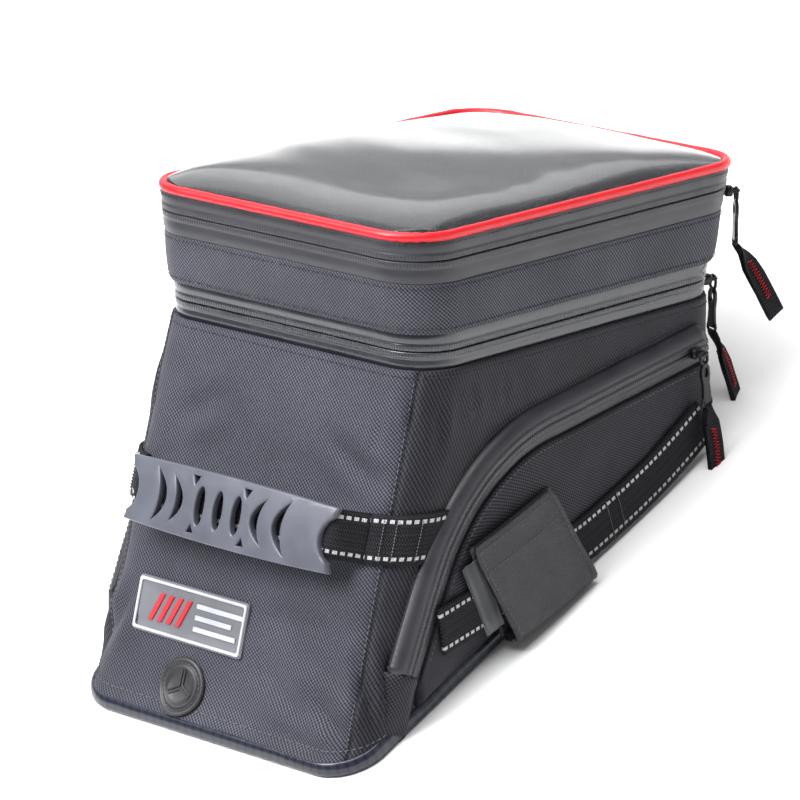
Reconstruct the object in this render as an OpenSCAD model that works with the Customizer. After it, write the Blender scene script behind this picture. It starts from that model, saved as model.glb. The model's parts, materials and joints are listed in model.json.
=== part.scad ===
// Soft motorcycle tank bag: raked body, expanding collar, clear-topped lid, front grip and side pockets.
// X runs across the bag, Y to its rear and Z up from the face that it stands on, in millimetres.
// Many places are given in the bag's own frame: v runs to the rear along the lid, w up from the lid's edge.

/* [Bag] */
// Width across the side panels
bag_width = 195; // [188:1:202]
// Length of the lid, front to rear
lid_length = 268; // [262:1:274]
// Length of the base, front to rear
base_length = 319; // [314:1:324]
// Corner radius of the lid and collar
corner_radius = 28; // [26:1:30]
// Corner radius of the base
base_radius = 24; // [22:1:26]
// Angle between the lid and the base
base_angle = 23.4; // [22.5:0.1:24.5]
// Depth of the front edge of the base below the lid's edge
front_depth = 273; // [268:1:278]
// Reach of the base's front edge ahead of the lid's edge
front_reach = 46; // [42:1:50]
// Thickness of the padded wall panels
wall = 5; // [4:0.5:6]

/* [Bands below the lid's edge] */
// Top of the lid's zip tape
lid_tape_top = 3.5; // [3.4:0.1:4]
// Line where the lid parts from the collar
lid_split = 13; // [12.5:0.5:14]
// Bottom of the collar's zip tape
collar_tape_bottom = 25; // [24:0.5:26]
// Bottom hem of the collar
collar_bottom = 52; // [50:1:53]
// Line where the expander zip parts
expander_split = 61.6; // [60:0.1:63]
// Top hem of the body
body_top = 71; // [70:1:72]
// Inset of the front edge at the body's top hem
front_inset = 8; // [6:1:10]
// Inset of the rear edge at the body's top hem
rear_inset = 16; // [14:1:18]
// Depth that the expander zip is set back from the walls
recess = 3.2; // [3:0.1:3.6]

/* [Lid] */
// Height of the padded panel's crown above the lid's edge
crown = 10; // [8:0.5:11]
// Gap between the padded panel and the clear window
window_gap = 1.2; // [1:0.1:2]
// Thickness of the clear window
window_thickness = 0.8; // [0.6:0.1:1.2]
// Radius of the red piping
piping_radius = 2.5; // [2.2:0.1:2.6]

/* [Front] */
// Length of the grip plate
grip_length = 145; // [140:1:148]
// Height of the grip plate
grip_height = 36; // [32:1:38]
// Distance of the grip's inner face from the front panel
grip_gap = 17.5; // [16:0.5:19]
// Distance of the strap's centre line below the body's top hem
grip_drop = 86.5; // [84:0.5:89]
// Width of all the webbing
webbing = 26; // [24:1:26]
// Radius of the cable port's flange
port_radius = 15.5; // [14:0.5:16]

/* [Sides] */
// Thickness of the flat side pockets
pocket_depth = 6; // [5:0.5:7]
// Radius of the bend in the pocket's zip
pocket_bend = 111; // [108:1:114]
// Width of the pocket's zip tape
pocket_tape = 21; // [19:1:22]
// Width of the wrap flap
flap_width = 66; // [60:1:68]
// Height of the wrap flap
flap_height = 55; // [50:1:56]

/* [Zip pulls] */
// Length of a metal puller between its two pins
puller_length = 30; // [26:1:32]
// Length of a webbing tail
tail_length = 47; // [40:1:50]
// Width of a webbing tail
tail_width = 11; // [9:0.5:12]

/* [Hidden] */
STEPS = 8;
CORNER = STEPS + 1;
SEAM = 3;
HALF = bag_width / 2;
CENTRE = [
    0,
    base_length / 2 * cos(base_angle) - front_reach,
    base_length / 2 * sin(base_angle) - front_depth
];
front_slope = front_inset / body_top;
rear_slope = rear_inset / body_top;

// The base: a rubber mat under a stiff board that holds six magnets
mat_top = 2.5;
board_top = 7;
wall_foot = board_top + 0.1;
binding_width = 3;
magnet_radius = 10.9;
magnet_pitch = [60, 110];
lining_gap = 0.2;
lining = 0.8;

// The front face: its foot, its top and its tilt from the ground
front_foot = [0, -base_length / 2, 0];
front_top = stand_point([0, front_edge(-body_top), -body_top]);
front_pitch = atan2(front_top.z, front_top.y - front_foot.y);

// Places on the front face: across it, and down from the body's top hem
badge_at = [-28.75, -149.75];
badge_size = [79, 29.5];
port_at = [-25.5, -184.4];
port_neck = 6.5;
strap_ends = 80;

// The pocket's zip, in v and w: a straight run from the rear, a bend and a straight run down the front
zip_heading = 8;
zip_turn = 57.7;
bend_centre = [111.7, -221.4];
zip_rear = 131;
zip_front = 53;
zip_rise = 7;
coil_rise = 1.3;

// The wrap flap, in v and w
flap_foot = [85, -207];
flap_turn = 18;
flap_stand = 20;
flap_tilt = 10;
flap_skin = 2.4;

// Zip pulls: the slider, its pin and the clearance about it
pin = 0.9;
pin_hole = 1.3;
pin_out = 8.2;
main_slider_level = -17.4;
main_slider_angle = 52;
expander_slider_level = -66.6;
expander_slider_angle = 70;
pocket_slider_run = 118;

// ---- Frames -------------------------------------------------------------------------------------

// A point of the bag's own frame, in the standing frame
function stand_point(p) = let (q = p - CENTRE) [
    q.x,
    q.y * cos(base_angle) + q.z * sin(base_angle),
    q.z * cos(base_angle) - q.y * sin(base_angle)
];

// The w of a point of the standing frame
function level_of(p) = p.y * sin(base_angle) + p.z * cos(base_angle) + CENTRE.z;

// Draws the children, given in the bag's own frame, in the standing frame
module stand() {
    rotate([-base_angle, 0, 0]) translate(-CENTRE) children();
}

// The front face: X across, Y up the face and Z out of it, from the middle of the body's top hem
module on_front() {
    translate(front_top) rotate([front_pitch, 0, 0]) children();
}

// A side face: X is v, Y is w and Z is out of it. side is 1 on the right and -1 on the left
module on_side(side) {
    mirror([side < 0 ? 1 : 0, 0, 0]) stand() translate([HALF, 0, 0]) rotate([90, 0, 90]) children();
}

// The rear right corner: X out of it, Y round it and Z up, on the surface at the level w
module on_corner(w, angle) {
    stand()
        translate([HALF - corner_radius, rear_edge(w) - corner_radius, w])
        rotate([0, 0, angle])
        translate([corner_radius, 0, 0])
        children();
}

// The pocket's zip: X out of it, Y along it to the rear and Z across it, run from the end of the bend
module on_pocket_zip(side, run) {
    on_side(side)
        translate(zip_point(run, 0))
        rotate([0, 0, zip_heading])
        rotate([-90, 0, 0])
        rotate([0, 0, -90])
        children();
}

// ---- Outlines and lofts -------------------------------------------------------------------------

function front_edge(w) = -min(w, 0) * front_slope;
function rear_edge(w) = lid_length + min(w, 0) * rear_slope;

// A rounded rectangle from the front's middle towards +X: STEPS + 1 points to each corner
function outline(x, y0, y1, r) = [
    for (c = [0:3])
    let (cx = c < 2 ? x - r : r - x, cy = c == 0 || c == 3 ? y0 + r : y1 - r)
    for (k = [0:STEPS])
    let (a = (c - 1) * 90 + k * 90 / STEPS)
    [cx + r * cos(a), cy + r * sin(a)]
];

// Rings of the base's outline and of the collar's outline, grown outwards by a few millimetres
function base_ring(grow) = [
    for (p = outline(HALF + grow, -base_length / 2 - grow, base_length / 2 + grow, base_radius + grow))
    [p.x, p.y, 0]
];
function level_ring(w, grow) = [
    for (p = outline(HALF + grow, front_edge(w) - grow, rear_edge(w) + grow, max(corner_radius + grow, 2)))
    stand_point([p.x, p.y, w])
];

// Rings on the body's wall, at a height above the ground or at a level below the lid
function foot_ring(z, grow) = let (lo = base_ring(grow), hi = level_ring(-body_top, grow)) [
    for (i = [0:len(lo) - 1]) lo[i] + (hi[i] - lo[i]) * z / hi[i].z
];
function wall_point(i, w, grow) = let (
    lo = base_ring(grow)[i],
    hi = level_ring(-body_top, grow)[i],
    s = (w - level_of(lo)) / (level_of(hi) - level_of(lo))
) lo + (hi - lo) * s;

// Part of a ring, from one point to another
function arc_of(ring, first, last) = [for (k = [first:last]) ring[k % len(ring)]];

function fan(loop) = [for (k = [1:len(loop) - 2]) [loop[0], loop[k], loop[k + 1]]];
function turned(loop) = [for (k = [len(loop) - 1:-1:0]) loop[k]];

// A band of facets between loop a and loop b, each of n points, closed round or open
function facets(a, b, n, round) = [
    for (k = [0:n - (round ? 1 : 2)])
    let (j = (k + 1) % n)
    each [[a * n + k, b * n + j, b * n + k], [a * n + k, a * n + j, b * n + j]]
];

// A solid tube: the loops go round its section, each closed on itself
module tube(loops) {
    n = len(loops[0]);
    m = len(loops);
    polyhedron(
        [for (l = loops) each l],
        [for (a = [0:m - 1]) each facets(a, (a + 1) % m, n, true)],
        convexity = 8
    );
}

// A solid strip: the loops go round its section and its two ends are capped
module strip(loops) {
    n = len(loops[0]);
    m = len(loops);
    polyhedron(
        [for (l = loops) each l],
        concat(
            [for (a = [0:m - 1]) each facets(a, (a + 1) % m, n, false)],
            fan([for (a = [0:m - 1]) a * n]),
            fan([for (a = [m:-1:1]) (a % m) * n + n - 1])
        ),
        convexity = 8
    );
}

// A solid stack: the loops are closed rings one above the other, and the first and last are capped
module stack(loops) {
    n = len(loops[0]);
    m = len(loops);
    polyhedron(
        [for (l = loops) each l],
        concat(
            [for (a = [0:m - 2]) each facets(a, a + 1, n, true)],
            fan(turned([for (k = [0:n - 1]) k])),
            fan([for (k = [0:n - 1]) (m - 1) * n + k])
        ),
        convexity = 8
    );
}

// A band round the collar between two levels, between two offsets from the wall
module band(w0, w1, outer, inner) {
    tube([level_ring(w0, outer), level_ring(w1, outer), level_ring(w1, inner), level_ring(w0, inner)]);
}

module rounded_plate(x, y, r, height) {
    linear_extrude(height) {
        square([x - 2 * r, y], center = true);
        square([x, y - 2 * r], center = true);
        for (sx = [-1, 1], sy = [-1, 1]) translate([sx * (x / 2 - r), sy * (y / 2 - r)]) circle(r, $fn = 48);
    }
}

// What lies above a height from the ground
module above_ground(height) {
    difference() {
        children();
        translate([-bag_width, -base_length, -60]) cube([2 * bag_width, 2 * base_length, 60 + height]);
    }
}

// ---- Base ---------------------------------------------------------------------------------------

module base_mat() {
    color("#1b1c1e") rounded_plate(bag_width - 1, base_length - 1, base_radius - 0.5, mat_top);
}

module at_magnets() {
    for (sx = [-1, 1], sy = [-1:1]) translate([sx * magnet_pitch.x, sy * magnet_pitch.y, mat_top]) children();
}

module base_board() {
    color("#3a3a3c") difference() {
        translate([0, 0, mat_top])
            rounded_plate(bag_width - 1, base_length - 1, base_radius - 0.5, board_top - mat_top);
        translate([0, 0, -1]) at_magnets() cylinder(r = magnet_radius + 0.1, h = board_top, $fn = 48);
    }
}

module base_magnets() {
    color("#6f7276") at_magnets() cylinder(r = magnet_radius, h = board_top - mat_top - 0.5, $fn = 48);
}

module base_binding() {
    grow = binding_width;
    color("#34373d") translate([0, 0, 0.6]) difference() {
        rounded_plate(bag_width + 2 * grow, base_length + 2 * grow, base_radius + grow, board_top - 1.2);
        translate([0, 0, -1]) rounded_plate(bag_width - 0.8, base_length - 0.8, base_radius - 0.4, board_top + 2);
    }
}

// ---- Body ---------------------------------------------------------------------------------------

// A padded wall panel between two points of the outline
module wall_panel(first, last) {
    strip([
        arc_of(foot_ring(wall_foot, 0), first, last),
        arc_of(level_ring(-body_top, 0), first, last),
        arc_of(level_ring(-body_top, -wall), first, last),
        arc_of(foot_ring(wall_foot, -wall), first, last)
    ]);
}

module port_hole(grow) {
    on_front() translate([port_at.x, port_at.y, -wall * 3]) cylinder(r = port_neck + grow, h = wall * 5, $fn = 48);
}

module front_panel() {
    color("#4a4d52") difference() {
        wall_panel(4 * CORNER - 1 - SEAM, 4 * CORNER + SEAM);
        port_hole(0.2);
    }
}

module right_side_panel() {
    color("#34363a") wall_panel(SEAM, CORNER + STEPS / 2);
}

module left_side_panel() {
    color("#34363a") wall_panel(2 * CORNER + STEPS / 2, 4 * CORNER - 1 - SEAM);
}

module rear_panel() {
    color("#34363a") wall_panel(CORNER + STEPS / 2, 2 * CORNER + STEPS / 2);
}

module lining() {
    out = -wall - lining_gap;
    color("#5c5f66") difference() {
        stack([
            foot_ring(wall_foot, out),
            level_ring(-body_top, out),
            level_ring(-body_top, out - lining),
            foot_ring(wall_foot + lining, out - lining)
        ]);
        port_hole(0.2);
    }
}

// ---- Front face ---------------------------------------------------------------------------------

module badge() {
    color("#55585c") on_front() translate([badge_at.x, badge_at.y, 0.1]) {
        rounded_plate(badge_size.x, badge_size.y, 2, 1.8);
        translate([0, 0, 1.8]) difference() {
            rounded_plate(badge_size.x - 2, badge_size.y - 2, 1.5, 0.8);
            translate([0, 0, -1]) rounded_plate(badge_size.x - 6, badge_size.y - 6, 1, 3);
        }
    }
}

module cable_port() {
    slit = 0.7;
    reach = port_neck - 1.5;
    color("#2b2c2e") on_front() translate([port_at.x, port_at.y, 0.1]) difference() {
        rotate_extrude($fn = 64) {
            square([port_radius, 2.6]);
            translate([0, -8.2]) square([port_neck, 8.3]);
        }
        for (a = [90:120:330]) rotate([0, 0, a]) translate([-slit / 2, 0, -12]) cube([slit, reach, 18]);
        translate([0, 0, -12]) cylinder(r = slit, h = 18, $fn = 24);
    }
}

module port_backing_ring() {
    color("#1f2022") above_ground(wall_foot + lining + 0.2) on_front()
        translate([port_at.x, port_at.y, -8.2]) difference() {
            cylinder(r = port_neck + 5, h = 2, $fn = 64);
            translate([0, 0, -1]) cylinder(r = port_neck + 0.1, h = 4, $fn = 48);
        }
}

// The strap round the corner, from its stitched end on the front face to the pocket's zip
module handle_anchor(side) {
    hi = front_level(grip_drop - webbing / 2);
    lo = front_level(grip_drop + webbing / 2);
    color("#1a1b1d") mirror([side < 0 ? 1 : 0, 0, 0]) strip([
        for (edge = [[lo, 1.7], [hi, 1.7], [hi, 0.1], [lo, 0.1]])
        [for (i = [2:STEPS - 2]) wall_point(i, edge[0], edge[1])]
    ]);
}

// The level w of a place on the front face, given its distance down from the body's top hem
function front_level(drop) = -body_top - drop * sin(front_pitch + base_angle);

module right_handle_anchor() {
    handle_anchor(1);
}

module left_handle_anchor() {
    handle_anchor(-1);
}

// The strap behind the grip: it lies on the face at its ends and stands off between them
module handle_webbing() {
    thick = 1.6;
    route = [
        [-strap_ends, 0.4], [-77, 2.2], [-74, 8], [-71, 13.2], [-67, 15.2], [-60, 15.8],
        [60, 15.8], [67, 15.2], [71, 13.2], [74, 8], [77, 2.2], [strap_ends, 0.4]
    ];
    color("#1a1b1d") on_front() translate([0, -grip_drop - webbing / 2, 0]) rotate([90, 0, 0])
        mirror([0, 0, 1]) linear_extrude(webbing)
        polygon(concat(route, [for (k = [len(route) - 1:-1:0]) route[k] + [0, thick]]));
}

module grip_slot(x, y, length, width) {
    translate([x, y, -1]) {
        translate([-width / 2, -length / 2 + width / 2, 0]) cube([width, length - width, 8]);
        for (s = [-1, 1]) translate([0, s * (length / 2 - width / 2), 0]) cylinder(d = width, h = 8, $fn = 24);
    }
}

module handle_grip() {
    notch = 11;
    color("#3b3d40") on_front() translate([0, -grip_drop - 3.5, grip_gap]) difference() {
        rounded_plate(grip_length, grip_height, 4, 5);
        for (s = [-1, 1]) translate([s * (grip_length / 2 + notch * 0.6), 0, -1])
            cylinder(r = notch, h = 8, $fn = 48);
        for (s = [-1, 1]) grip_slot(s * 52, 0, 22, 4);
        for (s = [-1, 1]) grip_slot(s * 40, 0, 22, 4);
        for (s = [-1:1]) grip_slot(s * 16, 0, 20, 6);
    }
}

// ---- Side pockets -------------------------------------------------------------------------------

// A point of the pocket's zip: run is measured rearwards from the bend's rear end, and grow is outwards
function zip_point(run, grow) = let (a = 90 + zip_heading, r = pocket_bend + grow)
    bend_centre + r * [cos(a), sin(a)] + run * [cos(zip_heading), sin(zip_heading)];

// The whole line of the zip from its rear end to its front end, grown outwards
function zip_line(grow) = let (a = 90 + zip_heading, z = a + zip_turn, r = pocket_bend + grow) concat(
    [zip_point(zip_rear, grow)],
    [for (k = [0:12]) bend_centre + r * [cos(a + zip_turn * k / 12), sin(a + zip_turn * k / 12)]],
    [bend_centre + r * [cos(z), sin(z)] + zip_front * [-sin(z), cos(z)]]
);

module zip_stroke(width, height) {
    linear_extrude(height) polygon(concat(zip_line(width / 2), turned(zip_line(-width / 2))));
}

module pocket_panel(side) {
    edge = zip_line(-pocket_tape / 2 - 0.2);
    rear = [edge[0].x + 6, base_level(edge[0].x + 6)];
    front = [edge[len(edge) - 1].x + 2, base_level(edge[len(edge) - 1].x + 2)];
    color("#303236") on_side(side) translate([0, 0, 0.1])
        linear_extrude(pocket_depth) polygon(concat(edge, [front, rear]));
}

// The lowest w of a piece that stops just above the base's binding, at v
function base_level(v) = CENTRE.z + (v - CENTRE.y) * tan(base_angle) + 9;

module right_pocket() {
    pocket_panel(1);
}

module left_pocket() {
    pocket_panel(-1);
}

module pocket_zip_tape(side) {
    color("#242528") on_side(side) translate([0, 0, 1.8]) zip_stroke(pocket_tape, zip_rise - 1.8);
}

module right_pocket_zip_tape() {
    pocket_zip_tape(1);
}

module left_pocket_zip_tape() {
    pocket_zip_tape(-1);
}

module pocket_coil(side) {
    color("#17181a") on_side(side) translate([0, 0, zip_rise + 0.1]) zip_stroke(6.5, coil_rise);
}

module right_pocket_coil() {
    pocket_coil(1);
}

module left_pocket_coil() {
    pocket_coil(-1);
}

// The fabric tab that covers the zip's front end, down to the base
module end_tab(side) {
    tip = zip_line(0)[len(zip_line(0)) - 1];
    color("#2b2d31") above_ground(board_top - 0.4) on_side(side) translate([tip.x, tip.y, 0.1]) linear_extrude(4.5) polygon([
        [9.6, -6], [-11, 2.2], [-15, -26], [3, -31]
    ]);
}

module right_end_tab() {
    end_tab(1);
}

module left_end_tab() {
    end_tab(-1);
}

// The webbing that crosses the pocket, through points in v and w
module side_webbing(side) {
    line = [[19, -202.3], [51, -196], [121, -181], [180, -157], [218, -136]];
    half = webbing / 2;
    color("#1a1b1d") on_side(side) translate([0, 0, pocket_depth + 0.2]) linear_extrude(1.6)
        polygon(concat([for (p = line) p + [-3, half]], [for (p = turned(line)) p + [3, -half]]));
}

module right_side_webbing() {
    side_webbing(1);
}

module left_side_webbing() {
    side_webbing(-1);
}

module on_flap(side) {
    on_side(side) translate([flap_foot.x, flap_foot.y, 0]) rotate([0, 0, flap_turn]) children();
}

// The layer of the wrap behind the flap, with the shelf that folds out to the flap's foot
module wrap_back(side) {
    back = pocket_depth + 2;
    color("#26272a") on_flap(side) {
        translate([-flap_width / 2 - 11, -1, back]) cube([flap_width + 11, flap_height + 2, 1.2]);
        translate([-flap_width / 2, -2, back]) cube([flap_width, 2, flap_stand - back - 2.4]);
    }
}

module right_wrap_back() {
    wrap_back(1);
}

module left_wrap_back() {
    wrap_back(-1);
}

module wrap_flap(side) {
    color("#242426") on_flap(side) translate([0, 0, flap_stand]) {
        translate([-flap_width / 2, 0, 0]) rotate([0, 90, 0]) cylinder(r = 2, h = flap_width, $fn = 32);
        rotate([-flap_tilt, 0, 0]) translate([0.5 - flap_width / 2, 0.5, -flap_skin / 2])
            cube([flap_width - 1, flap_height - 0.5, flap_skin]);
    }
}

module right_wrap_flap() {
    wrap_flap(1);
}

module left_wrap_flap() {
    wrap_flap(-1);
}

// ---- Expander zip and collar --------------------------------------------------------------------

module expander_tape_lower() {
    color("#1e1f22") band(-body_top + 0.1, -expander_split - 0.2, -recess, -recess - 1);
}

module expander_coil_lower() {
    color("#131415") band(-expander_split - 2.6, -expander_split - 0.2, -recess + 1.1, -recess + 0.1);
}

module expansion_gusset() {
    color("#2c2e33") band(-body_top + 0.2, -collar_bottom - 0.1, -wall - 0.4, -wall - 1.2);
}

module expander_tape_upper() {
    color("#1e1f22") band(-expander_split + 0.2, -collar_bottom - 0.1, -recess, -recess - 1);
}

module expander_coil_upper() {
    color("#131415") band(-expander_split + 0.2, -expander_split + 2.6, -recess + 1.1, -recess + 0.1);
}

module collar_band() {
    step = -1.2;
    color("#34363a") tube([
        level_ring(-collar_bottom, 0),
        level_ring(-collar_tape_bottom, 0),
        level_ring(-collar_tape_bottom, step),
        level_ring(-lid_split - 0.3, step),
        level_ring(-lid_split - 0.3, -wall - 1),
        level_ring(-collar_bottom, -wall - 1)
    ]);
}

module collar_lining() {
    color("#5c5f66") band(-collar_bottom, -lid_split - 0.3, -wall - 1.1, -wall - 1.9);
}

module collar_zip_tape() {
    color("#232427") band(-collar_tape_bottom + 0.1, -lid_split - 0.3, 0, -1.1);
}

module main_coil_lower() {
    color("#17181a") band(-lid_split - 3.5, -lid_split - 0.3, 0.7, 0.1);
}

module lid_hinge_strip() {
    color("#232427") stand() translate([-60, 0, 0]) rotate([90, 0, 90]) linear_extrude(120) polygon([
        for (p = [[-22, 0.9], [-lid_split - 0.6, 0.9], [-lid_split - 0.6, 1.9], [-22, 1.9]])
        [rear_edge(p[0]) + p[1], p[0]]
    ]);
}

// ---- Lid ----------------------------------------------------------------------------------------

module lid_zip_tape() {
    color("#232427") band(-lid_split, -lid_tape_top, 0, -1.1);
}

module main_coil_upper() {
    color("#17181a") band(-lid_split, -lid_split + 3.2, 0.7, 0.1);
}

// The lid's crown: height above the lid's edge at a distance in from it
function crown_height(top, inset) = top * (1 - exp(-inset / 11));
INSETS = [4, 7, 11, 17, 26, 40, 60, 84];

module lid_panel() {
    color("#1d1e20") stack(concat(
        [level_ring(-lid_split, -1.2), level_ring(-lid_tape_top, -1.2), level_ring(-lid_tape_top, -INSETS[0])],
        [for (i = INSETS) level_ring(crown_height(crown, i) - 2, -i)]
    ));
}

module lid_piping() {
    color("#c1121f") tube([
        for (k = [0:9]) level_ring(-0.6 + piping_radius * sin(36 * k), -0.6 - piping_radius * cos(36 * k))
    ]);
}

module map_window() {
    rise = window_gap + window_thickness;
    color([0.75, 0.8, 0.85, 0.45]) stack(concat(
        [for (k = [len(INSETS) - 1:-1:0]) level_ring(crown_height(crown, INSETS[k]) - 2 + window_gap, -INSETS[k])],
        [for (i = INSETS) level_ring(crown_height(crown, i) - 2 + rise, -i)]
    ));
}

// ---- Handles of the zips ------------------------------------------------------------------------

// A zip slider with two ears that hold the puller's pin. X is out of the zip and Z across it
module slider(stand_off) {
    color("#1a1a1c") {
        translate([stand_off, -4.5, -3.4]) cube([5.7 - stand_off, 9, 6.8]);
        for (s = [-1, 1]) translate([0, s * 3.2, 0]) {
            translate([5.5, -0.5, -1.5]) cube([pin_out - 5.5, 1, 3]);
            translate([pin_out, 0.5, 0]) rotate([90, 0, 0]) cylinder(r = 1.5, h = 1, $fn = 32);
        }
        translate([pin_out, 3.2, 0]) rotate([90, 0, 0]) cylinder(r = pin, h = 6.4, $fn = 32);
    }
}

module eye() {
    difference() {
        translate([0, 2.2, 0]) rotate([90, 0, 0]) cylinder(r = 2.4, h = 4.4, $fn = 32);
        translate([0, 3, 0]) rotate([90, 0, 0]) cylinder(r = pin_hole, h = 6, $fn = 32);
    }
}

// A metal puller that hangs from the slider's pin and holds the tail's pin between two prongs
module puller() {
    color("#1f1f21") translate([pin_out, 0, 0]) {
        eye();
        translate([-1, -3.6, 4 - puller_length]) cube([2, 7.2, puller_length - 4 - 2.2]);
        translate([-0.9, -1.5, -2.6]) cube([1.8, 3, 1]);
        for (s = [-1, 1]) translate([-1, s * 3.1 - 0.5, -1.2 - puller_length]) cube([2, 1, 5.4]);
        translate([0, 3.1, -puller_length]) rotate([90, 0, 0]) cylinder(r = pin, h = 6.2, $fn = 32);
    }
}

// A webbing tail that hangs from the puller's lower pin, leaning out by an angle
module tail(lean) {
    color("#1b1c1e") translate([pin_out, 0, -puller_length]) rotate([0, -lean, 0]) {
        eye();
        translate([-1.2, -tail_width / 2, -tail_length]) cube([2.4, tail_width, tail_length - 3.4]);
        translate([-1, -1.5, -4]) cube([2, 3, 2]);
    }
}

module main_slider() {
    on_corner(main_slider_level, main_slider_angle) slider(2);
}

module main_puller() {
    on_corner(main_slider_level, main_slider_angle) puller();
}

module main_tail() {
    on_corner(main_slider_level, main_slider_angle) tail(32);
}

module expander_slider() {
    on_corner(expander_slider_level, expander_slider_angle) slider(0.4);
}

module expander_puller() {
    on_corner(expander_slider_level, expander_slider_angle) puller();
}

module expander_tail() {
    on_corner(expander_slider_level, expander_slider_angle) tail(24);
}

module pocket_pull(side) {
    on_pocket_zip(side, pocket_slider_run) translate([zip_rise, 0, 0]) children();
}

module right_pocket_slider() {
    pocket_pull(1) slider(2);
}

module left_pocket_slider() {
    pocket_pull(-1) slider(2);
}

module right_pocket_puller() {
    pocket_pull(1) puller();
}

module left_pocket_puller() {
    pocket_pull(-1) puller();
}

module right_pocket_tail() {
    pocket_pull(1) tail(6);
}

module left_pocket_tail() {
    pocket_pull(-1) tail(6);
}

base_mat();
base_board();
base_magnets();
base_binding();
front_panel();
right_side_panel();
left_side_panel();
rear_panel();
lining();
badge();
cable_port();
port_backing_ring();
right_handle_anchor();
left_handle_anchor();
handle_webbing();
handle_grip();
right_pocket();
left_pocket();
right_pocket_zip_tape();
left_pocket_zip_tape();
right_pocket_coil();
left_pocket_coil();
right_end_tab();
left_end_tab();
right_side_webbing();
left_side_webbing();
right_wrap_back();
left_wrap_back();
right_wrap_flap();
left_wrap_flap();
expander_tape_lower();
expander_coil_lower();
expansion_gusset();
expander_tape_upper();
expander_coil_upper();
collar_band();
collar_lining();
collar_zip_tape();
main_coil_lower();
lid_hinge_strip();
lid_zip_tape();
main_coil_upper();
lid_panel();
lid_piping();
map_window();
main_slider();
main_puller();
main_tail();
expander_slider();
expander_puller();
expander_tail();
right_pocket_slider();
right_pocket_puller();
right_pocket_tail();
left_pocket_slider();
left_pocket_puller();
left_pocket_tail();
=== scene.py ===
import json
import math

import bmesh
import bpy
from mathutils import Matrix, Vector, noise


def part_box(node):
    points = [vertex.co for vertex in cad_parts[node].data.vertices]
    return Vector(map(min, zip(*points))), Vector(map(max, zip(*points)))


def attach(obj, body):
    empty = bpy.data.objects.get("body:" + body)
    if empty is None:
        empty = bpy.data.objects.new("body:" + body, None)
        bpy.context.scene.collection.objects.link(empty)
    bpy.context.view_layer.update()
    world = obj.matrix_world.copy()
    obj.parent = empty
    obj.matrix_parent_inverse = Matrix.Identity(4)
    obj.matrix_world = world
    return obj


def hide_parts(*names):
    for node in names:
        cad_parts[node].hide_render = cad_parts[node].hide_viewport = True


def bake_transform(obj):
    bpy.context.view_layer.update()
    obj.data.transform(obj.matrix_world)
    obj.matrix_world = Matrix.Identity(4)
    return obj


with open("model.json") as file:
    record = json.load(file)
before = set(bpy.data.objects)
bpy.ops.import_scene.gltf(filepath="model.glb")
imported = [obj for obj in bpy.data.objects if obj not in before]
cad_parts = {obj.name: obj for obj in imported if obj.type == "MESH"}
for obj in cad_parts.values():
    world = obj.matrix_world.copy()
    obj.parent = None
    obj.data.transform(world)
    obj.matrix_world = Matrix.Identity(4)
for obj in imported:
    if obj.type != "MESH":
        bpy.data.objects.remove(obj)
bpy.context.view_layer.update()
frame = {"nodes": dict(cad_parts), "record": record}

# All shapes are worked out in millimetres. v runs to the rear along the lid and w up from its edge.
MM = 0.001

# ---- Dimensions of the bag ----------------------------------------------------------------------

BASE_ANGLE = math.radians(23.4)
BAG_WIDTH = (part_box("collar_band")[1].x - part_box("collar_band")[0].x) / MM
HALF = BAG_WIDTH / 2
BASE_LENGTH = 319
LID_LENGTH = 268
FRONT_DEPTH = 273
FRONT_REACH = 46
LID_RADIUS = 28
BASE_RADIUS = 24
FRONT_INSET = 8
REAR_INSET = 16
BODY_TOP = 71
COLLAR_BOTTOM = 52
EXPANDER_SPLIT = 61.6
COLLAR_TAPE_BOTTOM = 25
LID_SPLIT = 13.15
LID_TAPE_TOP = 3.2
RECESS = 2.6
WALL = 5
WALL_FOOT = 7.2
CLOTH_FOOT = 2.8
WEBBING = 26
CENTRE = Vector((
    0,
    BASE_LENGTH / 2 * math.cos(BASE_ANGLE) - FRONT_REACH,
    BASE_LENGTH / 2 * math.sin(BASE_ANGLE) - FRONT_DEPTH,
))
TILT = Matrix.Rotation(-BASE_ANGLE, 3, "X")

# Points round the outline: along half the front, a corner, a side and the rear
FRONT_STEPS, CORNER_STEPS, SIDE_STEPS, REAR_STEPS = 16, 14, 52, 30
RIGHT_SEAM = FRONT_STEPS + 6
REAR_RIGHT = FRONT_STEPS + CORNER_STEPS + SIDE_STEPS + CORNER_STEPS // 2
REAR_LEFT = REAR_RIGHT + REAR_STEPS + CORNER_STEPS
POINTS = 2 * FRONT_STEPS + 4 * CORNER_STEPS + 2 * SIDE_STEPS + REAR_STEPS
LEFT_SEAM = POINTS - RIGHT_SEAM


def stand(x, v, w):
    """A point of the bag's own frame in the standing frame, in millimetres."""
    return TILT @ (Vector((x, v, w)) - CENTRE)


def level(point):
    """The w of a point of the standing frame."""
    return point.y * math.sin(BASE_ANGLE) + point.z * math.cos(BASE_ANGLE) + CENTRE.z


def front_edge(w):
    return -min(w, 0) * FRONT_INSET / BODY_TOP


def rear_edge(w):
    return LID_LENGTH + min(w, 0) * REAR_INSET / BODY_TOP


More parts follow.
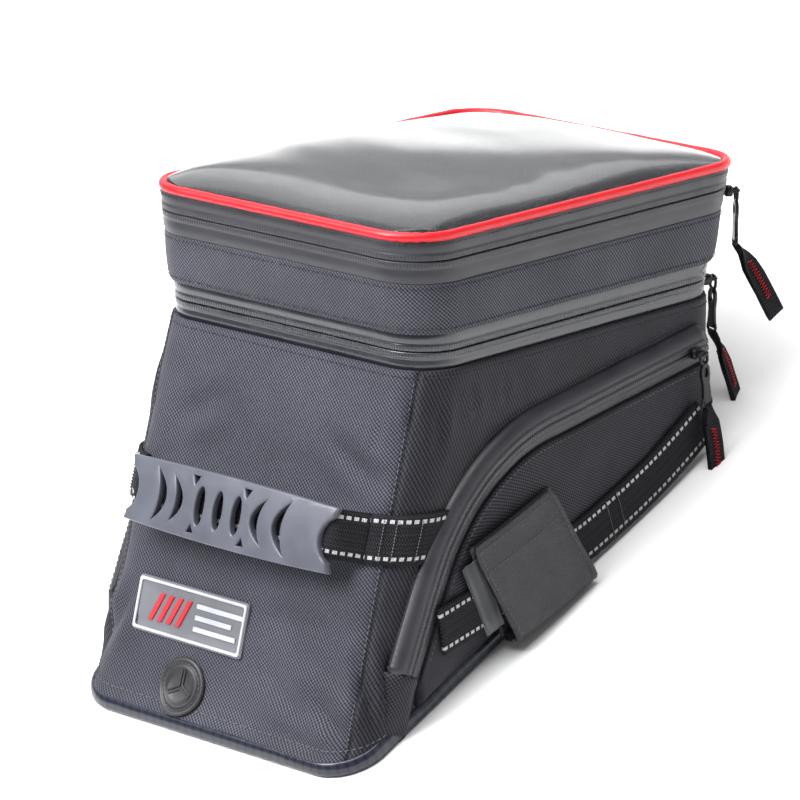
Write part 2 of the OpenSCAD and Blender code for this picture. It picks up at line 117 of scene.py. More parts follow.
def outline(half, y0, y1, radius):
    """A rounded rectangle from the middle of the front, as (x, y, outward x, outward y)."""
    points = []

    def straight(a, b, normal, steps):
        for k in range(steps):
            s = k / steps
            points.append((a[0] + (b[0] - a[0]) * s, a[1] + (b[1] - a[1]) * s, *normal))

    def corner(x, y, start):
        for k in range(CORNER_STEPS):
            a = math.radians(start + 90 * k / CORNER_STEPS)
            points.append((x + radius * math.cos(a), y + radius * math.sin(a), math.cos(a), math.sin(a)))

    x, lo, hi = half - radius, y0 + radius, y1 - radius
    straight((0, y0), (x, y0), (0, -1), FRONT_STEPS)
    corner(x, lo, -90)
    straight((half, lo), (half, hi), (1, 0), SIDE_STEPS)
    corner(x, hi, 0)
    straight((x, y1), (-x, y1), (0, 1), REAR_STEPS)
    corner(-x, hi, 90)
    straight((-half, hi), (-half, lo), (-1, 0), SIDE_STEPS)
    corner(-x, lo, 180)
    straight((-x, y0), (0, y0), (0, -1), FRONT_STEPS)
    return points


TOP_OUTLINE = outline(HALF, 0, LID_LENGTH, LID_RADIUS)


def running_length(points):
    total, lengths = 0.0, [0.0]
    for a, b in zip(points, points[1:]):
        total += (b - a).length
        lengths.append(total)
    return lengths


ALONG = running_length([Vector(p[:2]) for p in TOP_OUTLINE] + [Vector(TOP_OUTLINE[0][:2])])


def level_ring(w, grow):
    """The collar's outline at the level w, grown by a number or by a list of one number a point."""
    if not isinstance(grow, (list, tuple)):
        grow = [grow] * POINTS
    base = min(grow)
    radius = max(LID_RADIUS + base, 3)
    points = outline(HALF + base, front_edge(w) - base, rear_edge(w) + base, radius)
    return [
        stand(x + nx * (g - base), y + ny * (g - base), w)
        for (x, y, nx, ny), g in zip(points, grow)
    ]


FOOT_LINE = [
    Vector((x, y, 0)) for x, y, _, _ in outline(HALF, -BASE_LENGTH / 2, BASE_LENGTH / 2, BASE_RADIUS)
]
HEM_LINE = level_ring(-BODY_TOP, 0)
WALL_UP = [(h - f).normalized() for f, h in zip(FOOT_LINE, HEM_LINE)]
WALL_OUT = []
for i in range(POINTS):
    step = HEM_LINE[(i + 1) % POINTS] - HEM_LINE[i - 1]
    WALL_OUT.append(step.cross(WALL_UP[i]).normalized())


def wrinkle(x, y, size, depth, seed):
    return depth * noise.noise(Vector((x / size, y / size, seed)))


# Creases in the cloth: (distance along the outline, level, distance along, level, half width, depth)
CREASES = [
    (96, -262, 60, -236, 6, 1.5), (104, -258, 84, -214, 5, 1.3), (88, -266, 40, -258, 5, 1.2),
    (112, -246, 100, -206, 5, 1.1), (60, -250, 22, -228, 8, 0.9), (116, -236, 128, -200, 5, 0.9),
    (70, -86, 74, -112, 3, 0.7), (84, -80, 92, -104, 3, 0.8), (101, -82, 108, -112, 4, 0.7),
    (122, -78, 134, -100, 3, 0.7), (150, -80, 158, -96, 3, 0.6), (40, -110, 78, -128, 7, 0.8),
    (-30, -100, -62, -120, 8, 0.7), (-70, -210, -92, -252, 7, 1.1), (-88, -228, -98, -262, 5, 1.0),
    (-96, -90, -102, -124, 4, 0.8), (20, -205, 66, -200, 9, 0.7),
]


def crease(along, w):
    total = 0.0
    for a0, w0, a1, w1, half, depth in CREASES:
        da, dw = a1 - a0, w1 - w0
        s = ((along - a0) * da + (w - w0) * dw) / (da * da + dw * dw)
        s = min(max(s, 0), 1)
        off = math.hypot(along - a0 - da * s, w - w0 - dw * s)
        fade = 1 - abs(2 * s - 1) ** 2 * 0.7
        total += depth * fade * (math.exp(-((off - half * 1.3) / half) ** 2) - math.exp(-(off / half) ** 2))
    return total


def seam_dip(i):
    nearest = min(
        abs((i - seam + POINTS / 2) % POINTS - POINTS / 2)
        for seam in (RIGHT_SEAM, REAR_RIGHT, REAR_LEFT, LEFT_SEAM)
    )
    return 0.9 * math.exp(-(nearest / 0.55) ** 2)


def foot_flare(i, z):
    """How far the cloth stands out where it wraps over the base board's edge."""
    corner = 7.05 * WALL_OUT[i].z + 0.5
    return max(0, corner) * math.exp(-max(0, z - 6) / 6)


def signed_along(i):
    """Distance along the outline from the middle of the front, negative on the left."""
    a = ALONG[i % POINTS]
    return a if a < ALONG[-1] / 2 else a - ALONG[-1]


def swell(i, t):
    """How far the padded wall stands out, at a point of the outline and a share of the wall's height."""
    foot, hem = FOOT_LINE[i], HEM_LINE[i]
    p = foot.lerp(hem, t)
    along, w = signed_along(i), level(p)
    soft = 1.3 * math.sin(math.pi * min(max(t, 0), 1)) ** 0.8
    rough = wrinkle(along, w, 55, 1.6, 3.1) + wrinkle(along, w, 19, 0.55, 8.7)
    edge = min(1, 6 * t * (1 - t) + 0.15)
    flare = foot_flare(i, p.z)
    return soft + edge * rough + edge * 2.4 * crease(along, w) - seam_dip(i) + flare


def wall_point(i, t, depth):
    """A point of the body's wall: depth is outwards, and t runs from the ground to the top hem."""
    i %= POINTS
    return FOOT_LINE[i].lerp(HEM_LINE[i], t) + WALL_OUT[i] * depth


def share_at_level(i, w):
    foot, hem = level(FOOT_LINE[i % POINTS]), level(HEM_LINE[i % POINTS])
    return (w - foot) / (hem - foot)


# ---- Front and side frames ----------------------------------------------------------------------

FACE_TOP = stand(0, front_edge(-BODY_TOP), -BODY_TOP)
FACE_UP = (FACE_TOP - Vector((0, -BASE_LENGTH / 2, 0))).normalized()
FACE_OUT = Vector((1, 0, 0)).cross(FACE_UP)


def on_front(u, t, n):
    """A place on the front face: across, up from the body's top hem and out."""
    return FACE_TOP + Vector((u, 0, 0)) + FACE_UP * t + FACE_OUT * n


def on_side(side, v, w, n):
    """A place on a side face. side is 1 on the right and -1 on the left."""
    p = stand(HALF + n, v, w)
    return Vector((p.x * side, p.y, p.z))


# ---- Mesh builders ------------------------------------------------------------------------------

PALETTE = {}


def finish_mesh(name, points, faces, uvs, look, body, slot, replaces=(), smooth=True, weld=False):
    """Makes the object, in metres, with its UV map, material and body, and hides the nodes it stands for;
    the slot is not used.
    """
    mesh = bpy.data.meshes.new(name)
    mesh.from_pydata([p * MM for p in points], [], faces)
    if uvs is not None:
        layer = mesh.uv_layers.new(name="cloth")
        for polygon in mesh.polygons:
            corner = [uvs[k] for k in polygon.vertices]
            wide = max(c[0] for c in corner) - min(c[0] for c in corner) > 4
            for loop, uv in zip(polygon.loop_indices, corner):
                u = uv[0]
                if wide and u < 1:
                    u += ALONG[-1] / 100
                layer.data[loop].uv = (u, uv[1])
    editor = bmesh.new()
    editor.from_mesh(mesh)
    if weld:
        bmesh.ops.remove_doubles(editor, verts=editor.verts, dist=0.02 * MM)
        bmesh.ops.dissolve_degenerate(editor, edges=editor.edges, dist=0.01 * MM)
    bmesh.ops.recalc_face_normals(editor, faces=editor.faces)
    editor.to_mesh(mesh)
    editor.free()
    for polygon in mesh.polygons:
        polygon.use_smooth = smooth
    mesh.materials.append(PALETTE[look])
    piece = bpy.data.objects.new(name, mesh)
    bpy.context.scene.collection.objects.link(piece)
    if body:
        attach(piece, body)
    if replaces:
        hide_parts(*replaces)
    return piece


def lofted(name, loops, look, body, slot, round_=True, solid=True, along=None, across=None, **more):
    """A mesh through equal loops. round_ joins each loop's ends, solid joins the last loop to the first."""
    n, m = len(loops[0]), len(loops)
    points = [p for loop in loops for p in loop]
    if along is None:
        along = running_length(loops[m // 2])
    if across is None:
        across = running_length([loop[n // 2] for loop in loops])
    uvs = [(along[k] / 100, across[j] / 100) for j in range(m) for k in range(n)]
    faces = []
    for j in range(m if solid else m - 1):
        b = (j + 1) % m
        for k in range(n if round_ else n - 1):
            q = (k + 1) % n
            faces.append((j * n + k, j * n + q, b * n + q, b * n + k))
    if not round_ and solid:
        faces.append(tuple(j * n for j in range(m)))
        faces.append(tuple(j * n + n - 1 for j in reversed(range(m))))
    if round_ and not solid and not more.get("weld"):
        faces.append(tuple(reversed(range(n))))
        faces.append(tuple((m - 1) * n + k for k in range(n)))
    return finish_mesh(name, points, faces, uvs, look, body, slot, **more)


def rounded_profile(corners, steps=4):
    """A closed outline with its corners rounded: each corner is (x, y, radius)."""
    points = []
    count = len(corners)
    for k in range(count):
        x, y, r = corners[k]
        here = Vector((x, y))
        back = Vector(corners[k - 1][:2]) - here
        on = Vector(corners[(k + 1) % count][:2]) - here
        reach = min(r, back.length * 0.49, on.length * 0.49)
        if reach < 0.01:
            points.append(here)
            continue
        a, b = here + back.normalized() * reach, here + on.normalized() * reach
        for s in range(steps + 1):
            f = s / steps
            points.append(a * (1 - f) ** 2 + here * (2 * f * (1 - f)) + b * f ** 2)
    return points


def band(name, corners, look, body, slot, rough=0.0, seed=0.0, split=None, **more):
    """A soft band round the collar. Its section is an outline of (w, offset, radius)."""
    section = rounded_profile([(w, g, r) for w, g, r in corners])
    loops = []
    for p in section:
        grow = [
            p.y + (wrinkle(ALONG[i], p.x, 30, rough, seed) if rough else 0) for i in range(POINTS)
        ]
        loops.append(level_ring(p.x, grow))
    across = [p.x - (split or 0) for p in section]
    return lofted(name, loops, look, body, slot, along=ALONG[:POINTS], across=across, **more)


def stitches(name, path, look, body, slot, pitch=3.2, length=2.2, radius=0.32):
    """A row of short threads along a path of (point, outward normal)."""
    points, faces = [], []
    lengths = running_length([p for p, _ in path])
    count = int(lengths[-1] / pitch)
    seat = 0
    for k in range(count):
        ends = []
        for place in ((k + 0.5) * pitch - length / 2, (k + 0.5) * pitch + length / 2):
            place = min(max(place, 0), lengths[-1] - 0.001)
            while seat < len(lengths) - 2 and lengths[seat + 1] < place:
                seat += 1
            while seat > 0 and lengths[seat] > place:
                seat -= 1
            f = (place - lengths[seat]) / max(lengths[seat + 1] - lengths[seat], 1e-6)
            ends.append((path[seat][0].lerp(path[seat + 1][0], f), path[seat][1]))
        (a, normal), (b, _) = ends
        line = (b - a).normalized()
        side = line.cross(normal).normalized()
        first = len(points)
        for f, r in ((0, 0.25), (0.2, 0.9), (0.8, 0.9), (1, 0.25)):
            rise = normal * radius * (0.2 if f in (0, 1) else 0.8)
            for c, s in ((1, 0), (0, 1), (-1, 0), (0, -1)):
                points.append(a.lerp(b, f) + rise + (side * c + normal * s) * radius * r)
        for ring_ in range(3):
            for q in range(4):
                x, y = first + ring_ * 4 + q, first + ring_ * 4 + (q + 1) % 4
                faces.append((x, y, y + 4, x + 4))
        faces.append((first + 3, first + 2, first + 1, first))
        faces.append((first + 12, first + 13, first + 14, first + 15))
    return finish_mesh(name, points, faces, None, look, body, slot)


def box_at(points, faces, centre, x_axis, y_axis, z_axis):
    """Adds a box to a mesh: half-size vectors along three axes."""
    first = len(points)
    for sx in (-1, 1):
        for sy in (-1, 1):
            for sz in (-1, 1):
                points.append(centre + x_axis * sx + y_axis * sy + z_axis * sz)
    for quad in ((0, 1, 3, 2), (4, 6, 7, 5), (0, 4, 5, 1), (2, 3, 7, 6), (0, 2, 6, 4), (1, 5, 7, 3)):
        faces.append(tuple(first + q for q in quad))


def swept(name, route, radius, look, body, slot, sides=10, closed=False):
    """A round bar along a route of points."""
    loops = []
    count = len(route)
    normal = None
    for k in range(count):
        ahead = route[(k + 1) % count] if closed or k + 1 < count else route[k]
        behind = route[k - 1] if closed or k > 0 else route[k]
        line = (ahead - behind).normalized()
        if normal is None:
            normal = line.orthogonal().normalized()
        normal = (normal - line * normal.dot(line)).normalized()
        side = line.cross(normal)
        loops.append([
            route[k] + (normal * math.cos(a) + side * math.sin(a)) * radius
            for a in (2 * math.pi * q / sides for q in range(sides))
        ])
    lofted(name, loops, look, body, slot, solid=closed)


def bevelled(piece, width):
    modifier = piece.modifiers.new("edges", "BEVEL")
    modifier.width = width * MM
    modifier.segments = 2
    modifier.limit_method = "ANGLE"
    modifier.angle_limit = math.radians(40)


# ---- Materials ----------------------------------------------------------------------------------


class Look:
    """A material with its principled shader and short ways to add nodes."""

    def __init__(self, name, colour, roughness, **sockets):
        self.material = bpy.data.materials.new(name)
        self.material.use_nodes = True
        self.tree = self.material.node_tree
        self.shader = self.tree.nodes["Principled BSDF"]
        self.shader.inputs["Base Color"].default_value = (*colour, 1)
        self.shader.inputs["Roughness"].default_value = roughness
        for key, value in sockets.items():
            self.shader.inputs[key.replace("_", " ")].default_value = value
        PALETTE[name] = self.material

    def node(self, kind, **settings):
        node = self.tree.nodes.new(kind)
        for key, value in settings.items():
            setattr(node, key, value)
        return node

    def link(self, source, target):
        self.tree.links.new(source, target)

    def math(self, operation, a, b=0.0):
        node = self.node("ShaderNodeMath", operation=operation)
        for socket, value in zip(node.inputs, (a, b)):
            if isinstance(value, (int, float)):
                socket.default_value = value
            else:
                self.link(value, socket)
        return node.outputs[0]

    def uv(self):
        """Distance along and across the cloth, in millimetres."""
        split = self.node("ShaderNodeSeparateXYZ")
        self.link(self.node("ShaderNodeUVMap", uv_map="cloth").outputs[0], split.inputs[0])
        return self.math("MULTIPLY", split.outputs[0], 100), self.math("MULTIPLY", split.outputs[1], 100)

    def place(self):
        return self.node("ShaderNodeTexCoord").outputs["Object"]

    def noise(self, scale, detail=3.0):
        node = self.node("ShaderNodeTexNoise")
        node.inputs["Scale"].default_value = scale
        node.inputs["Detail"].default_value = detail
        node.inputs["Roughness"].default_value = 0.55
        self.link(self.place(), node.inputs["Vector"])
        return node.outputs["Fac"]

    def remap(self, value, low, high, to_low, to_high):
        node = self.node("ShaderNodeMapRange")
        for socket, number in zip(node.inputs[1:5], (low, high, to_low, to_high)):
            socket.default_value = number
        self.link(value, node.inputs[0])
        return node.outputs[0]

    def blend(self, factor, a, b):
        node = self.node("ShaderNodeMix", data_type="RGBA")
        for socket, value in ((node.inputs[0], factor), (node.inputs[6], a), (node.inputs[7], b)):
            if isinstance(value, (int, float)):
                socket.default_value = value
            elif isinstance(value, tuple):
                socket.default_value = (*value, 1)
            else:
                self.link(value, socket)
        return node.outputs[2]

    def tint(self, base, amount):
        """Scales a colour, fixed or linked, by an amount that varies."""
        scaled = self.node("ShaderNodeVectorMath", operation="SCALE")
        if isinstance(base, tuple):
            scaled.inputs[0].default_value = base
        else:
            self.link(base, scaled.inputs[0])
        self.link(amount, scaled.inputs["Scale"])
        return scaled.outputs[0]

    def colour(self, output):
        self.link(output, self.shader.inputs["Base Color"])

    def roughness(self, output):
        self.link(output, self.shader.inputs["Roughness"])

    def bump(self, height, strength, distance):
        node = self.node("ShaderNodeBump")
        node.inputs["Strength"].default_value = strength
        node.inputs["Distance"].default_value = distance * MM
        self.link(height, node.inputs["Height"])
        before = self.shader.inputs["Normal"]
        if before.is_linked:
            self.link(before.links[0].from_socket, node.inputs["Normal"])
        self.link(node.outputs[0], self.shader.inputs["Normal"])

    def wave(self, value, pitch):
        """0 to 1 and back once a pitch."""
        phase = self.math("MULTIPLY", value, 2 * math.pi / pitch)
        return self.math("ADD", self.math("MULTIPLY", self.math("SINE", phase), 0.5), 0.5)


NYLON_PITCH = 2.2
TOOTH_PITCH = 1.7


def nylon(name, dark, light):
    """Coarse ballistic nylon: a diagonal lattice of threads, with painted highlight on their crowns and
    painted shade in the gaps between them.
    """
    look = Look(name, light, 0.66, Specular_IOR_Level=0.2, Sheen_Weight=0.05, Sheen_Roughness=0.5)
    u, v = look.uv()
    warp, weft = look.wave(u, NYLON_PITCH), look.wave(v, NYLON_PITCH)
    same = look.math("MULTIPLY", warp, weft)
    other = look.math("MULTIPLY", look.math("SUBTRACT", 1, warp), look.math("SUBTRACT", 1, weft))
    lattice = look.math("ADD", same, other)
    twill = look.wave(look.math("ADD", u, v), NYLON_PITCH)
    crown = look.math("ADD", look.math("MULTIPLY", lattice, 0.6), look.math("MULTIPLY", twill, 0.4))
    patch = look.remap(look.noise(22, 4), 0.3, 0.7, 0.8, 1.16)
    thread = look.remap(look.noise(900, 2), 0.3, 0.7, 0.85, 1.15)
    # The thread crowns are painted lighter as painted highlight and the gaps between them darker as painted
    # shade.
    base = look.blend(look.remap(crown, 0.25, 0.8, 0, 1), dark, light)
    look.colour(look.tint(base, look.math("MULTIPLY", patch, thread)))
    look.roughness(look.remap(crown, 0, 1, 0.8, 0.52))
    look.bump(crown, 0.55, 0.35)


def coated(name, colour, roughness, gloss=0.5, ridges=True):
    """Coated zip tape: smooth, with the teeth of the coil showing as two rows of bumps by its split, the
    teeth painted lighter as painted highlight and the split painted dark as painted shade.
    """
    look = Look(name, colour, roughness, Specular_IOR_Level=gloss)
    u, v = look.uv()
    patch = look.remap(look.noise(30, 4), 0.3, 0.7, 0.8, 1.2)
    base = look.tint(colour, patch)
    if ridges:
        off = look.math("ABSOLUTE", v)
        side = look.math("MULTIPLY", look.math("GREATER_THAN", v, 0), math.pi)
        phase = look.math("ADD", look.math("MULTIPLY", u, 2 * math.pi / TOOTH_PITCH), side)
        teeth = look.math("ADD", look.math("MULTIPLY", look.math("SINE", phase), 0.5), 0.5)
        inner = look.math("MULTIPLY", look.math("GREATER_THAN", off, 0.7), look.math("LESS_THAN", off, 1.7))
        outer = look.math("MULTIPLY", look.math("GREATER_THAN", off, 2.2), look.math("LESS_THAN", off, 3.2))
        rows = look.math("MULTIPLY", look.math("ADD", inner, outer), teeth)
        gap = look.math("LESS_THAN", off, 0.3)
        # The tooth rows are painted lighter with a brightened copy of the tape colour, as painted highlight
        # on the coil.
        pale = tuple(c * 2.6 for c in colour)
        base = look.blend(look.math("MULTIPLY", rows, 0.35), base, pale)
        # The split between the coil's two rows is painted near black as painted shade.
        base = look.blend(look.math("MULTIPLY", gap, 0.85), base, (0.004, 0.004, 0.005))
        look.bump(look.math("SUBTRACT", rows, gap), 0.8, 0.35)
    look.colour(base)
    look.roughness(look.remap(look.noise(60, 3), 0.3, 0.7, roughness - 0.07, roughness + 0.1))
    look.bump(look.noise(700, 2), 0.08, 0.2)


def webbing_look(name, dashes):
    """Black herringbone webbing, with painted highlight on the weave's raised parts and painted shade in its
    low parts, and with two rows of pale reflective dashes if dashes is true.
    """
    look = Look(name, (0.02, 0.02, 0.023), 0.75, Specular_IOR_Level=0.15)
    u, v = look.uv()
    fold = look.math("PINGPONG", v, 2.2)
    chevron = look.wave(look.math("ADD", u, look.math("MULTIPLY", fold, 0.9)), 1.5)
    cord = look.wave(v, 2.2)
    weave = look.math("MULTIPLY", chevron, look.remap(cord, 0, 1, 0.55, 1))
    # The weave's raised parts are painted lighter and its low parts near black, as painted highlight and
    # painted shade.
    base = look.blend(look.remap(weave, 0.15, 0.8, 0, 1), (0.0015, 0.0015, 0.002), (0.024, 0.024, 0.03))
    height = weave
    if dashes:
        off = look.math("ABSOLUTE", look.math("SUBTRACT", look.math("ABSOLUTE", v), 9.2))
        row = look.math("LESS_THAN", off, 0.95)
        along = look.math("FRACT", look.math("DIVIDE", u, 4.2))
        dash = look.math("MULTIPLY", row, look.math("LESS_THAN", along, 0.62))
        grain = look.remap(look.noise(1400, 2), 0.3, 0.7, 0.3, 0.52)
        pale = look.node("ShaderNodeCombineColor")
        for socket in pale.inputs:
            look.link(grain, socket)
        base = look.blend(dash, base, pale.outputs[0])
        height = look.math("ADD", weave, dash)
    look.colour(base)
    look.bump(height, 0.7, 0.4)


def pebbled(name, colour, roughness, scale, strength):
    """Vinyl or leatherette with a pebbled grain, the grooves between its pebbles painted darker as painted
    shade.
    """
    look = Look(name, colour, roughness, Specular_IOR_Level=0.5)
    cells = look.node("ShaderNodeTexVoronoi", feature="DISTANCE_TO_EDGE")
    cells.inputs["Scale"].default_value = scale
    look.link(look.place(), cells.inputs["Vector"])
    grain = look.remap(cells.outputs[0], 0.0, 0.22, 0, 1)
    patch = look.remap(look.noise(26, 4), 0.3, 0.7, 0.75, 1.25)
    # The grooves between pebbles are painted darker as painted shade.
    look.colour(look.tint(look.blend(grain, tuple(c * 0.45 for c in colour), colour), patch))
    look.roughness(look.remap(look.noise(80, 3), 0.3, 0.7, roughness - 0.06, roughness + 0.1))
    look.bump(grain, strength, 0.35)


def plain(name, colour, roughness, grain=500, bump=0.1, vary=0.15, **sockets):
    """A moulded, painted or bare surface with a fine grain and slight changes of tone."""
    look = Look(name, colour, roughness, **sockets)
    patch = look.remap(look.noise(45, 4), 0.3, 0.7, 1 - vary, 1 + vary)
    look.colour(look.tint(colour, patch))
    look.roughness(look.remap(look.noise(120, 3), 0.3, 0.7, roughness - 0.05, roughness + 0.08))
    look.bump(look.noise(grain, 2), bump, 0.2)


def bound_edge(name):
    """Glossy vinyl binding with a row of short raised blocks pressed into it, the blocks painted lighter as
    painted highlight.
    """
    look = Look(name, (0.01, 0.012, 0.02), 0.28, Specular_IOR_Level=0.5)
    along = look.math("FRACT", look.math("DIVIDE", look.uv()[0], 5.4))
    started = look.math("GREATER_THAN", along, 0.12)
    block = look.math("MULTIPLY", look.math("LESS_THAN", along, 0.72), started)
    # The raised blocks are painted lighter than the vinyl between them, as painted highlight.
    tone = look.blend(look.math("MULTIPLY", block, 0.5), (0.006, 0.007, 0.014), (0.022, 0.026, 0.046))
    look.colour(tone)
    look.bump(block, 0.5, 0.5)
    look.bump(look.noise(160, 3), 0.2, 0.6)


def make_looks():
    # Three copies of one nylon: the front and collar copies are painted lighter as lit faces, and the side
    # copy, used on the sides, rear, gusset and pockets, is painted darker as shaded faces.
    nylon("lit_front_cloth", (0.005, 0.0055, 0.008), (0.074, 0.076, 0.101))
    nylon("shaded_side_cloth", (0.002, 0.002, 0.003), (0.03, 0.03, 0.041))
    nylon("lit_collar_cloth", (0.007, 0.0075, 0.0095), (0.09, 0.092, 0.117))
    coated("matte_tape", (0.02, 0.0205, 0.026), 0.42)
    coated("glossy_tape", (0.018, 0.0195, 0.026), 0.24, gloss=0.75)
    coated("plain_tape", (0.026, 0.027, 0.031), 0.48, ridges=False)
    webbing_look("strap", True)
    webbing_look("grosgrain", False)
    pebbled("lid_vinyl", (0.012, 0.013, 0.017), 0.36, 620, 0.8)
    pebbled("leatherette", (0.022, 0.022, 0.029), 0.4, 900, 0.8)
    plain("grip_plastic", (0.078, 0.082, 0.104), 0.36, grain=1500, bump=0.12)
    plain("port_rubber", (0.017, 0.017, 0.02), 0.48, grain=900)
    plain("badge_ground", (0.11, 0.113, 0.13), 0.55, grain=1200)
    plain("badge_edge", (0.4, 0.41, 0.44), 0.4, grain=1200)
    plain("badge_mark", (0.42, 0.02, 0.03), 0.4, grain=1200)
    plain("red_vinyl", (0.62, 0.004, 0.012), 0.36, grain=260, bump=0.25, vary=0.08)
    plain("red_thread", (0.55, 0.012, 0.02), 0.6, grain=1500)
    plain("thread", (0.085, 0.088, 0.1), 0.6, grain=1500)
    plain("dark_thread", (0.012, 0.012, 0.014), 0.6, grain=1500)
    plain("black_metal", (0.016, 0.016, 0.018), 0.3, grain=700, bump=0.06, Metallic=0.6)
    plain("teeth", (0.008, 0.008, 0.009), 0.35, grain=700)
    plain("lining_cloth", (0.2, 0.205, 0.22), 0.75, grain=1400, bump=0.4)
    plain("loop_cloth", (0.035, 0.037, 0.043), 0.95, grain=2200, bump=1.0, Sheen_Weight=0.4)
    plain("mat_rubber", (0.03, 0.031, 0.035), 0.7, grain=300, bump=0.5)
    plain("board", (0.1, 0.1, 0.105), 0.8)
    plain("magnet", (0.42, 0.43, 0.45), 0.3, Metallic=1.0)
    bound_edge("binding")
    clear = Look("clear_vinyl", (0.97, 0.98, 1.0), 0.13, IOR=1.42, Transmission_Weight=1.0)
    clear.bump(clear.noise(9, 2), 0.12, 3.0)


make_looks()

# ---- Body ---------------------------------------------------------------------------------------


def shell(name, first, last, look, node):
    """A padded wall panel between two seams, with a rolled hem at its top."""
    rows = 64
    indices = list(range(first, last + 1))
    loops = []
    for k in range(rows + 1):
        row = []
        for i in indices:
            low = CLOTH_FOOT / HEM_LINE[i % POINTS].z
            t = low + (1 - low) * k / rows
            row.append(wall_point(i, t, swell(i % POINTS, t)))
        loops.append(row)
    for t_drop, depth in ((-0.004, -0.5), (-0.005, -2.0), (-0.002, -3.6), (0.004, -WALL)):
        loops.append([wall_point(i, 1 - t_drop - 0.004, depth) for i in indices])
    for k in range(12, -1, -1):
        row = []
        for i in indices:
            low = WALL_FOOT / HEM_LINE[i % POINTS].z
            row.append(wall_point(i, low + (0.985 - low) * k / 12, -WALL))
        loops.append(row)
    along = [signed_along(i) if first < 0 or last >= POINTS else ALONG[i % POINTS] for i in indices]
    across = [0.0]
    for a, b in zip(loops, loops[1:]):
        across.append(across[-1] + (b[len(indices) // 2] - a[len(indices) // 2]).length)
    piece = lofted(name, loops, look, "root", frame_slot(node), round_=False,
                   along=along, across=across, replaces=[node])


def frame_slot(node):
    for part in frame["record"]["subparts"]:
        if part["node"] == node:
            return part["material_slot"]
    raise KeyError(node)


def body():
    # The front shell takes the lit copy of the nylon, the side and rear shells the shaded copy.
    shell("front_shell", -RIGHT_SEAM, RIGHT_SEAM, "lit_front_cloth", "front_panel")
    shell("right_side_shell", RIGHT_SEAM, REAR_RIGHT, "shaded_side_cloth", "right_side_panel")
    shell("rear_shell", REAR_RIGHT, REAR_LEFT, "shaded_side_cloth", "rear_panel")
    shell("left_side_shell", REAR_LEFT, LEFT_SEAM, "shaded_side_cloth", "left_side_panel")
    for name, seam, shift in (("right", RIGHT_SEAM, -1.6), ("left", LEFT_SEAM, 1.6)):
        path = []
        for k in range(61):
            t = 0.05 + 0.93 * k / 60
            step = (wall_point(seam + 1, t, 0) - wall_point(seam, t, 0)).normalized()
            path.append((wall_point(seam, t, swell(seam, t) + 0.75) + step * shift, WALL_OUT[seam]))
        stitches(name + "_seam_stitches", path, "thread", "root", "side_nylon")
    path = []
    for i in range(POINTS + 1):
        k = i % POINTS
        t = 1 - 3.6 / (HEM_LINE[k] - FOOT_LINE[k]).length
        path.append((wall_point(k, t, swell(k, 0.985)), WALL_OUT[k]))
    stitches("body_hem_stitches", path, "dark_thread", "root", "side_nylon")


def base():
    section = rounded_profile([
        (0.5, -0.6, 0.2), (0.5, 2.2, 1.2), (2.2, 3.4, 1.4),
        (6.2, 2.6, 1.6), (8.2, 0.9, 0.9), (8.2, -0.6, 0.2),
    ])
    loops = []
    for p in section:
        ring_ = outline(HALF + p.y, -BASE_LENGTH / 2 - p.y, BASE_LENGTH / 2 + p.y, BASE_RADIUS + p.y)
        loops.append([
            Vector((x, y, p.x + (wrinkle(ALONG[i], 0, 26, 0.7, 5) if p.x > 5 else 0)))
            for i, (x, y, _, _) in enumerate(ring_)
        ])
    lofted("base_edge_binding", loops, "binding", "root", "binding", along=ALONG[:POINTS],
           replaces=["base_binding"])
    path = []
    for i in range(POINTS + 1):
        k = i % POINTS
        t = 9.6 / HEM_LINE[k].z
        path.append((wall_point(k, t, swell(k, t) + 0.1), WALL_OUT[k]))
    stitches("base_stitches", path, "thread", "root", "side_nylon", pitch=3.6)
    for node, look in (("base_mat", "mat_rubber"), ("base_board", "board"), ("base_magnets", "magnet")):
        dress(node, look)


def dress(node, look):
    """Gives a CAD node that stays its own material."""
    mesh = frame["nodes"][node].data
    mesh.materials.clear()
    mesh.materials.append(PALETTE[look])


# ---- Collar, zips and lid -----------------------------------------------------------------------


def zip_half(name, split, away, reach, depth, look, body, node, coil, lip=0.0):
    """Half of a coated zip tape: away is 1 above the split and -1 below it, reach is the tape's width."""
    w = lambda d: split + away * d
    corners = [
        (w(0.1), depth - 1.4, 0.1), (w(0.1), depth - 0.1, 0.2), (w(0.6), depth + 0.55, 0.4),
        (w(3.1), depth + 0.6, 0.6), (w(4.2), depth + 0.1, 0.6), (w(reach * 0.7), depth + 0.35 + lip, 2.0),
        (w(reach), depth - 0.1, 0.4), (w(reach), depth - 1.4, 0.2),
    ]
    return band(name, corners, look, body, frame_slot(node), rough=0.25, seed=split, split=split,
                replaces=[node, coil])


def fine_wrinkle(i, w):
    return wrinkle(ALONG[i], w * 0.5, 13, 0.35, 4.4)


